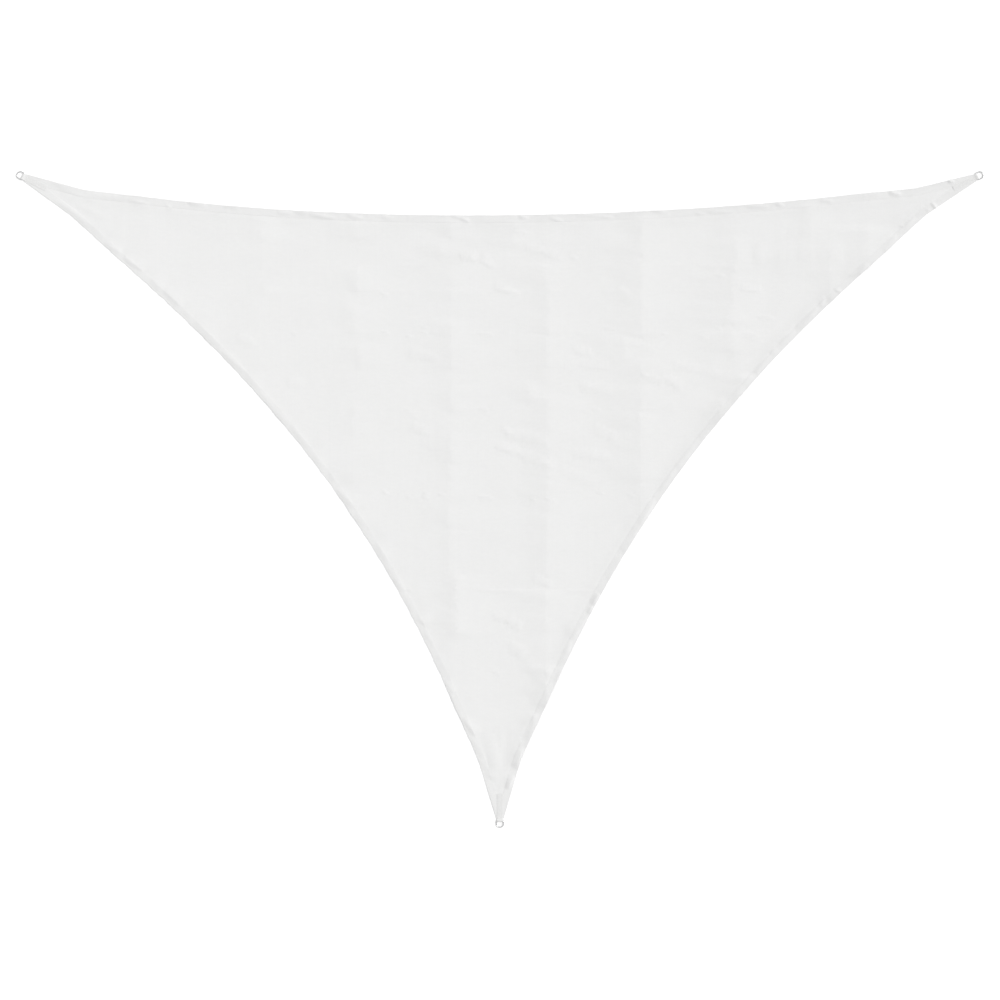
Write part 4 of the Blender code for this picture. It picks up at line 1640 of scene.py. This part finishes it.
    def lower_shade(self, flat: Array) -> Array:
        """Lower layer's grey: full under the hem, painted shade just past it, painted light at its
        edge.
        """
        past = (self.plan.inset(flat) - self.hem_width) / self.shade_reach
        return np.where(np.abs(past) < self.painted_light_band, self.edge_painted_light,
                        self.inner_shade * np.clip(1.0 - past, 0.0, 1.0))

    def row_shade(self, name: str, row: HemRow) -> float:
        """Greyness of a hem row, part painted shade: less inwards, and painted light past the sewing.
        """
        shade = 1.0 - (1.0 - self.inner_shade) * row.inset / self.hem_width
        return self.edge_painted_light if row.inset > self.sewn[1] else shade * self.plan.edges[name].greyness

    def build(self) -> bpy.types.Object:
        """Model the cloth.

        Returns:
            One closed sheet, hemmed on all three edges.
        """
        self.stations = {name: self.edge_stations(name) for name in self.plan.edges}
        flat, faces, rims = self.lower_layer()
        verts = [np.column_stack((flat, self.lie.height(flat) + self.thick / 2))]
        maps, shades = [flat], [self.lower_shade(flat)]
        total = len(flat)
        for name, before in rims.items():
            distance = self.stations[name]
            points, normals = self.plan.edges[name].rail(distance)
            scale = self.hem_scale(name, distance)[:, None]
            stray = self.plan.edges[name].wavering(distance)[:, None]
            for row in self.hem_rows():
                narrow = scale if row.inset > self.first_inset else 1.0
                stay = min(max(1.0 - row.inset / self.rows[0], 0.0), 1.0)
                place = points + normals * (row.inset * narrow + stray * stay)
                verts.append(np.column_stack((place, self.lie.height(place) + row.height)))
                maps.append(points + normals * (self.first_inset - row.flat))
                shades.append(np.full(len(points), self.row_shade(name, row)))
                after = list(range(total, total + len(points)))
                total += len(points)
                faces += [[before[i + 1], before[i], after[i], after[i + 1]]
                          for i in range(len(points) - 1)]
                before = after
        piece = new_piece("sail_cloth_knit", np.vstack(verts), faces)
        set_map(piece, "cut", np.vstack(maps))
        # The hem's painted grey: part doubled cloth and part painted shade, with painted light at its
        # inner edge.
        hem_darkening = piece.data.attributes.new("hem", "FLOAT", "POINT")
        hem_darkening.data.foreach_set("value", np.concatenate(shades).astype(np.float32))
        apply_modifier(piece, "SOLIDIFY", thickness=self.thick, offset=0.0)
        smooth(piece, self.smooth_angle)
        apply_modifier(piece, "WEIGHTED_NORMAL", mode="FACE_AREA", keep_sharp=True)
        return piece

    def cut_area(self) -> float:
        """Area of the cloth before its edges were turned.

        Returns:
            The area in square metres.
        """
        outline = np.vstack([self.plan.edges[name].rail(distance)[0]
                             for name, distance in self.stations.items()])
        x, y = outline.T
        inside = abs(np.dot(x, np.roll(y, -1)) - np.dot(y, np.roll(x, -1))) / 2
        rim = np.linalg.norm(outline - np.roll(outline, -1, axis=0), axis=1).sum()
        return float(inside + rim * self.hem_rows()[-1].flat)


# -------------------- the sewing


@dataclass(frozen=True)
class Stitch:
    """One stitch of sewing thread, lying on the cloth with its ends pulled down into it."""

    length: float = 0.0050
    radius: float = 0.00040
    # Faces round the thread, how far its ends are pulled down, the share of its thickness that they
    # keep, and how far from its middle they are looked for, as a share of the straight part.
    sides: int = 5
    dive: float = 0.0007
    thinned: float = 0.5
    end_part: float = 0.49

    def model(self) -> bpy.types.Mesh:
        """Model the stitch along X, with its middle at the origin.

        Returns:
            Its mesh.
        """
        clear_selection()
        middle = self.length - 4 * self.radius
        bpy.ops.mesh.primitive_cylinder_add(vertices=self.sides, radius=self.radius, depth=middle,
                                            rotation=(0.0, math.pi / 2, 0.0))
        piece = bpy.context.object
        apply_place()
        bpy.ops.object.mode_set(mode="EDIT")
        for way in (-1.0, 1.0):
            pick_verts(piece, lambda place, way=way: place.x * way > self.end_part * middle)
            extrude((way * 2 * self.radius, 0.0, -self.dive))
            bpy.ops.transform.resize(value=(1.0, self.thinned, self.thinned))
        bpy.ops.object.mode_set(mode="OBJECT")
        mesh = piece.data
        bpy.data.objects.remove(piece)
        return mesh


@dataclass(frozen=True)
class Seam:
    """A run of stitches: where each lies and which way it points."""

    middles: Array
    ways: Array
    smooth_angle: float = 60.0

    def sewn(self, name: str, stitch: bpy.types.Mesh) -> bpy.types.Object:
        """Copy a stitch along the run, as one piece.

        Args:
            name: The piece's name.
            stitch: The modelled stitch.

        Returns:
            The joined stitches.
        """
        shape = np.array([vert.co for vert in stitch.vertices])
        ahead = self.ways / np.linalg.norm(self.ways, axis=1, keepdims=True)
        aside = np.cross((0.0, 0.0, 1.0), ahead)
        aside /= np.linalg.norm(aside, axis=1, keepdims=True)
        over = np.cross(ahead, aside)
        axes = np.stack((ahead, aside, over), axis=1)
        verts = np.einsum("vk,nkc->nvc", shape, axes) + self.middles[:, None, :]
        sides = [list(polygon.vertices) for polygon in stitch.polygons]
        count = len(shape)
        faces = [[i + copy * count for i in side] for copy in range(len(verts)) for side in sides]
        piece = new_piece(name, verts.reshape(-1, 3), faces)
        smooth(piece, self.smooth_angle)
        return piece


@dataclass(frozen=True)
class HemSewing:
    """Two rows of stitches round the hem."""

    cloth: SailCloth
    # From stitch to stitch, and from either end of the hem to the first one.
    pitch: float = 0.0060
    end_gap: float = 0.003
    # How far a stitch's middle lies over the cloth.
    raised: float = 0.00015

    def seam(self, name: str) -> Seam:
        """Both rows of stitches along one edge.

        Args:
            name: The edge's name.

        Returns:
            The stitches' places.
        """
        stations = self.cloth.stations[name]
        rail, normals = self.cloth.plan.edges[name].rail(stations)
        scale = self.cloth.hem_scale(name, stations)[:, None]
        height = next(row.height for row in self.cloth.hem_rows() if row.inset == self.cloth.sewn[0])
        middles, ways = [], []
        for inset in self.cloth.sewn:
            row = rail + normals * inset * scale
            over = self.cloth.lie.height(row) + height + self.cloth.thick / 2 + self.raised
            line = np.column_stack((row, over))
            run = np.concatenate(((0.0,), np.cumsum(np.linalg.norm(np.diff(line, axis=0), axis=1))))
            ends = np.arange(self.end_gap, run[-1] - self.end_gap, self.pitch)
            knots = np.column_stack([np.interp(ends, run, line[:, axis]) for axis in range(3)])
            middles.append((knots[1:] + knots[:-1]) / 2)
            ways.append(knots[1:] - knots[:-1])
        return Seam(np.vstack(middles), np.vstack(ways))

    def build(self, stitch: bpy.types.Mesh) -> list[bpy.types.Object]:
        """Sew all three edges, one piece for each."""
        return [self.seam(name).sewn("hem_stitches_" + name, stitch)
                for name in self.cloth.plan.edges]


# -------------------- the corners


@dataclass(frozen=True)
class CornerStrap:
    """A webbing strap folded round a ring's bar, sewn through the cloth's corner.

    It is modelled with the ring's middle at the origin and +X as the way into the cloth.
    """

    corner: Corner
    width: float = 0.036
    thick: float = 0.0014
    # Where both tails end, and where the upper one comes down onto the cloth.
    tail_end: float = 0.187
    landing: float = 0.041
    # Where the ring's bar lies, and the radius of the webbing's middle round it.
    bar_x: float = 0.0195
    bar_z: float = 0.0048
    fold: float = 0.00405
    # Heights of the two tails' middles.
    lower_z: float = 0.00075
    upper_z: float = 0.00440
    # Steps of points across the webbing, round the bar and down onto the cloth, their distance on
    # the upper tail, and that on the lower one in as many rows.
    columns: int = 12
    fold_steps: int = 12
    drop_steps: int = 5
    row: float = 0.0032
    lower_rows: int = 3
    # How far the sewing pulls the webbing in and how far from its lines, and how far off its height
    # a point is still the upper tail's.
    press: float = 0.00030
    press_reach: float = 0.0030
    slack: float = 0.0001
    # The sewing: near and far end of each crossed box, half of their width, the bar tacks, its
    # pitch, and how far its middle lies over the pressed webbing.
    boxes: tuple[Pair, ...] = ((0.058, 0.108), (0.128, 0.178))
    box_half: float = 0.0135
    tacks: tuple[float, ...] = (0.0455, 0.0480)
    stitch_pitch: float = 0.0042
    raised: float = 0.0001
    # The webbing's rounded edges, and the angles from which an edge is rounded or shown sharp.
    edge_round: float = 0.0004
    edge_steps: int = 2
    edge_angle: float = 60.0
    smooth_angle: float = 50.0

    @property
    def node(self) -> str:
        """The frame's node that the strap stands for."""
        return "corner_strap_" + self.corner.side.value

    @property
    def lower_tail(self) -> float:
        """Length of the lower tail."""
        return self.tail_end - self.bar_x

    @property
    def upper_tail(self) -> float:
        """Length of the upper tail on the cloth."""
        return self.tail_end - self.landing

    @property
    def drop(self) -> float:
        """How far the webbing comes down from the bar's top to the upper tail."""
        return self.bar_z + self.fold - self.upper_z

    def length(self) -> float:
        """Length of the cut webbing."""
        slope = math.hypot(self.landing - self.bar_x, self.drop)
        return self.lower_tail + self.upper_tail + math.pi * self.fold + slope

    def band(self) -> bpy.types.Object:
        """Model the strap's middle surface: lower tail, fold round the bar, upper tail.

        Returns:
            The surface as one piece, still without thickness.
        """
        clear_selection()
        tail = self.lower_tail
        bpy.ops.mesh.primitive_grid_add(x_subdivisions=round(tail / (self.lower_rows * self.row)),
                                        y_subdivisions=self.columns, size=1.0,
                                        location=(self.bar_x + tail / 2, 0.0, self.lower_z))
        piece = bpy.context.object
        piece.scale = (tail, self.width, 1.0)
        apply_place()
        bpy.ops.object.mode_set(mode="EDIT")
        pick_verts(piece, lambda place: place.x < self.bar_x + SAME_POINT)
        spin(math.pi, self.fold_steps, (self.bar_x, 0.0, self.bar_z), (0.0, 1.0, 0.0))
        span = (self.landing - self.bar_x) / self.drop_steps
        for step in range(self.drop_steps):
            before, after = (0.5 + 0.5 * math.cos(math.pi * (step + i) / self.drop_steps)
                             for i in (0, 1))
            extrude((span, 0.0, self.drop * (after - before)))
        rows = round(self.upper_tail / self.row)
        for _ in range(rows):
            extrude((self.upper_tail / rows, 0.0, 0.0))
        bpy.ops.object.mode_set(mode="OBJECT")
        return piece

    def sewn_lines(self) -> list[tuple[Vector, Vector]]:
        """The sewing on the upper tail: two crossed boxes and two bar tacks.

        Returns:
            The start and the end of each line of sewing.
        """
        half = self.box_half
        lines = []
        for near, far in self.boxes:
            corners = [Vector((near, -half)), Vector((far, -half)), Vector((far, half)),
                       Vector((near, half))]
            lines += list(zip(corners, corners[1:] + corners[:1]))
            lines += [(corners[0], corners[2]), (corners[1], corners[3])]
        lines += [(Vector((x, -half)), Vector((x, half))) for x in self.tacks]
        return lines

    def press_in(self, piece: bpy.types.Object) -> None:
        """Let the sewing pull the upper tail's webbing in along its lines.

        Args:
            piece: The strap's middle surface.
        """
        lines = self.sewn_lines()
        for vert in piece.data.vertices:
            if vert.co.z < self.upper_z - self.slack or vert.co.x < self.landing:
                continue
            place = vert.co.to_2d()
            near = min(self.from_line(place, *line) for line in lines)
            vert.co.z -= self.press * max(0.0, 1.0 - near / self.press_reach)

    @staticmethod
    def from_line(place: Vector, start: Vector, end: Vector) -> float:
        """Distance of a place from a line.

        Args:
            place: The place.
            start: Where the line starts.
            end: Where the line ends.

        Returns:
            The distance.
        """
        line = end - start
        share = min(max((place - start).dot(line) / line.length_squared, 0.0), 1.0)
        return (place - start - line * share).length

    def run_of(self, place: Vector) -> float:
        """How far along the cut webbing a place on the strap lies.

        Args:
            place: The place.

        Returns:
            Its distance from the lower tail's end.
        """
        if place.x < self.bar_x:
            turn = math.atan2(self.bar_x - place.x, self.bar_z - place.z)
            return self.lower_tail + self.fold * turn
        if place.z < (self.lower_z + self.upper_z) / 2:
            return self.tail_end - place.x
        return self.lower_tail + math.pi * self.fold + (place.x - self.bar_x)

    def build(self) -> bpy.types.Object:
        """Model the finished strap at its corner.

        Returns:
            The strap.
        """
        piece = self.band()
        piece.name = piece.data.name = "webbing_strap_" + self.corner.side.value
        self.press_in(piece)
        weave = np.array([(self.run_of(vert.co), vert.co.y) for vert in piece.data.vertices])
        while piece.data.uv_layers:
            piece.data.uv_layers.remove(piece.data.uv_layers[0])
        set_map(piece, "weave", weave)
        apply_modifier(piece, "SOLIDIFY", thickness=self.thick, offset=0.0)
        apply_modifier(piece, "BEVEL", width=self.edge_round, segments=self.edge_steps,
                       limit_method="ANGLE", angle_limit=math.radians(self.edge_angle))
        smooth(piece, self.smooth_angle)
        set_place(piece, self.corner.placed())
        return piece

    def sewing(self, stitch: bpy.types.Mesh) -> bpy.types.Object:
        """Sew the crossed boxes and the bar tacks on the upper tail.

        Args:
            stitch: The modelled stitch.

        Returns:
            The joined stitches.
        """
        over = self.upper_z + self.thick / 2 - self.press + self.raised
        middles, ways = [], []
        for start, end in self.sewn_lines():
            count = max(1, round((end - start).length / self.stitch_pitch))
            for i in range(count):
                middle = start.lerp(end, (i + 0.5) / count)
                middles.append((*middle, over))
                ways.append((*(end - start), 0.0))
        piece = Seam(np.array(middles), np.array(ways)).sewn(
            "strap_stitches_" + self.corner.side.value, stitch)
        set_place(piece, self.corner.placed())
        return piece


@dataclass(frozen=True)
class DRing:
    """A D-ring of round steel wire, its bar in the strap's fold and its bow on the floor.

    It is modelled flat, with its middle at the origin, its bar towards +X and its bow towards -X.
    """

    corner: Corner
    # The wire's radius, and the ring's width and length between the wire's middles.
    wire: float = 0.003
    width: float = 0.044
    length: float = 0.039
    # Radius of the bends beside the bar, and height of the bar's middle over the floor.
    bend: float = 0.004
    bar_height: float = 0.0048
    # Faces round the wire, and steps of points round the bow and round either bend.
    sides: int = 24
    bow_steps: int = 48
    bend_steps: int = 8
    # The butt weld in the bar's middle: how much thicker it is, and half its length.
    weld_swell: float = 1.10
    weld_half: float = 0.0022
    smooth_angle: float = 60.0

    @property
    def node(self) -> str:
        """The frame's node that the ring stands for."""
        return "d_ring_" + self.corner.side.value

    def build(self) -> bpy.types.Object:
        """Model the ring from a circle of wire, extruded and spun round to its start.

        Returns:
            The ring at its corner.
        """
        clear_selection()
        half, bar_x = self.width / 2, self.length / 2
        bend_x, bend_y, bow_x = bar_x - self.bend, half - self.bend, half - self.length / 2
        bpy.ops.mesh.primitive_circle_add(vertices=self.sides, radius=self.wire,
                                          fill_type="NOTHING", location=(bar_x, 0.0, 0.0),
                                          rotation=(math.pi / 2, 0.0, 0.0))
        piece = bpy.context.object
        apply_place()
        bpy.ops.object.mode_set(mode="EDIT")
        bpy.ops.mesh.select_all(action="SELECT")
        up = (0.0, 0.0, 1.0)
        bar = (self.weld_half, bend_y - self.weld_half)
        for step in bar:
            extrude((0.0, step, 0.0))
        spin(math.pi / 2, self.bend_steps, (bend_x, bend_y, 0.0), up)
        extrude((bow_x - bend_x, 0.0, 0.0))
        spin(math.pi, self.bow_steps, (bow_x, 0.0, 0.0), up)
        extrude((bend_x - bow_x, 0.0, 0.0))
        spin(math.pi / 2, self.bend_steps, (bend_x, -bend_y, 0.0), up)
        for step in reversed(bar):
            extrude((0.0, step, 0.0))
        bpy.ops.mesh.select_all(action="SELECT")
        bpy.ops.mesh.remove_doubles(threshold=SAME_POINT)
        self.swell_weld(piece, bar_x)
        bpy.ops.mesh.select_all(action="SELECT")
        bpy.ops.mesh.normals_make_consistent(inside=False)
        bpy.ops.object.mode_set(mode="OBJECT")
        piece.name = piece.data.name = "steel_ring_" + self.corner.side.value
        smooth(piece, self.smooth_angle)
        tilt = math.asin((self.bar_height - self.wire) / self.length)
        set_place(piece, self.corner.placed((self.bar_height + self.wire) / 2, tilt))
        return piece

    def swell_weld(self, piece: bpy.types.Object, bar_x: float) -> None:
        """Swell the butt weld in the middle of the bar."""
        pick_verts(piece, lambda place: abs(place.y) < self.weld_half / 2 and place.x > 0)
        bpy.ops.transform.resize(value=(self.weld_swell, 1.0, self.weld_swell),
                                 center_override=(bar_x, 0.0, 0.0))


# -------------------- the studio


@dataclass(frozen=True)
class Studio:
    """Plain pale floor, soft light, and the camera straight over the sail."""

    # Width that the camera sees at the floor, its lens and sensor in millimetres, the Y of the
    # place straight under it, and where its sight begins and ends, the end in camera heights.
    view_width: float = 6.25
    lens: float = 100.0
    sensor: float = 36.0
    middle_y: float = -0.0032
    near_clip: float = 0.1
    far_clip: float = 4.0
    # Length of the floor's sides, and how far it lies under the sail.
    floor_size: float = 120.0
    floor_drop: float = 0.0004
    # Light from all round, a soft sun with its angles in degrees, and a panel at the left.
    ambient: float = 0.78
    sun_power: float = 1.87
    sun_azimuth: float = 24.0
    sun_elevation: float = 36.0
    sun_spread: float = 30.0
    sun_distance: float = 10.0
    side_power: float = 45.0
    side_size: float = 6.0
    side_place: Triple = (-6.0, 0.0, 8.0)

    def lay_floor(self) -> None:
        """Lay the floor just under the sail."""
        clear_selection()
        bpy.ops.mesh.primitive_plane_add(size=self.floor_size, location=(0, 0, -self.floor_drop))
        floor = bpy.context.object
        floor.name = "floor"
        floor.data.materials.append(FloorFinish().make())

    @staticmethod
    def hang(name: str, data: bpy.types.ID, place: Triple) -> bpy.types.Object:
        """Hang a lamp or a camera over the floor.

        Args:
            name: Its name.
            data: The lamp's or camera's own settings.
            place: Where it hangs.

        Returns:
            The new object.
        """
        hung = bpy.data.objects.new(name, data)
        hung.location = place
        bpy.context.scene.collection.objects.link(hung)
        return hung

    def light(self) -> None:
        """Light the sail evenly, with a little more from the right."""
        world = bpy.context.scene.world = bpy.data.worlds.new("soft_light")
        world.use_nodes = True
        background = world.node_tree.nodes["Background"]
        background.inputs["Color"].default_value = (1.0, 1.0, 1.0, 1.0)
        background.inputs["Strength"].default_value = self.ambient
        sun = bpy.data.lights.new("sun", "SUN")
        sun.energy = self.sun_power
        sun.angle = math.radians(self.sun_spread)
        azimuth, elevation = math.radians(self.sun_azimuth), math.radians(self.sun_elevation)
        source = Vector((math.cos(elevation) * math.cos(azimuth),
                         math.cos(elevation) * math.sin(azimuth), math.sin(elevation)))
        lamp = self.hang("sun", sun, source * self.sun_distance)
        lamp.rotation_mode = "QUATERNION"
        lamp.rotation_quaternion = source.to_track_quat("Z", "Y")
        panel = bpy.data.lights.new("side_panel", "AREA")
        panel.energy = self.side_power
        panel.size = self.side_size
        side = self.hang("side_panel", panel, self.side_place)
        side.visible_camera = False
        side.visible_glossy = False

    def set_camera(self) -> None:
        """Hang the camera straight over the sail."""
        data = bpy.data.cameras.new("camera")
        data.lens = self.lens
        data.sensor_width = self.sensor
        height = self.view_width * self.lens / self.sensor
        data.clip_start, data.clip_end = self.near_clip, self.far_clip * height
        scene = bpy.context.scene
        scene.camera = self.hang("camera", data, (0.0, self.middle_y, height))
        scene.view_settings.view_transform = "Standard"
        scene.view_settings.look = "None"


# -------------------- all of it


def build_sail() -> None:
    """Build the cloth, the sewing, the straps and the rings, and tie each to the frame."""
    plan = SailPlan()
    knit, webbing, thread, steel = (finish.make() for finish in (
        KnitFinish(), WebbingFinish(), ThreadFinish(), SteelFinish()))
    cloth = SailCloth(plan, Lie(plan))
    sail = dress(cloth.build(), knit, (cloth.node,))
    stitch = Stitch().model()
    sewing = [dress(piece, thread) for piece in HemSewing(cloth).build(stitch)]
    for corner in plan.corners.values():
        ring = DRing(corner)
        dress(ring.build(), steel, (ring.node,))
        strap = CornerStrap(corner)
        band = dress(strap.build(), webbing, (strap.node,))
        sewn = dress(strap.sewing(stitch), thread)
        round(strap.length(), 3)
    round(cloth.cut_area(), 3)


def main() -> None:
    """Build the sail and its studio."""
    logging.basicConfig(level=logging.INFO, format="%(name)s %(message)s")
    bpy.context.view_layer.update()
    build_sail()
    studio = Studio()
    studio.lay_floor()
    studio.light()
    studio.set_camera()


if __name__ == "__main__":
    main()
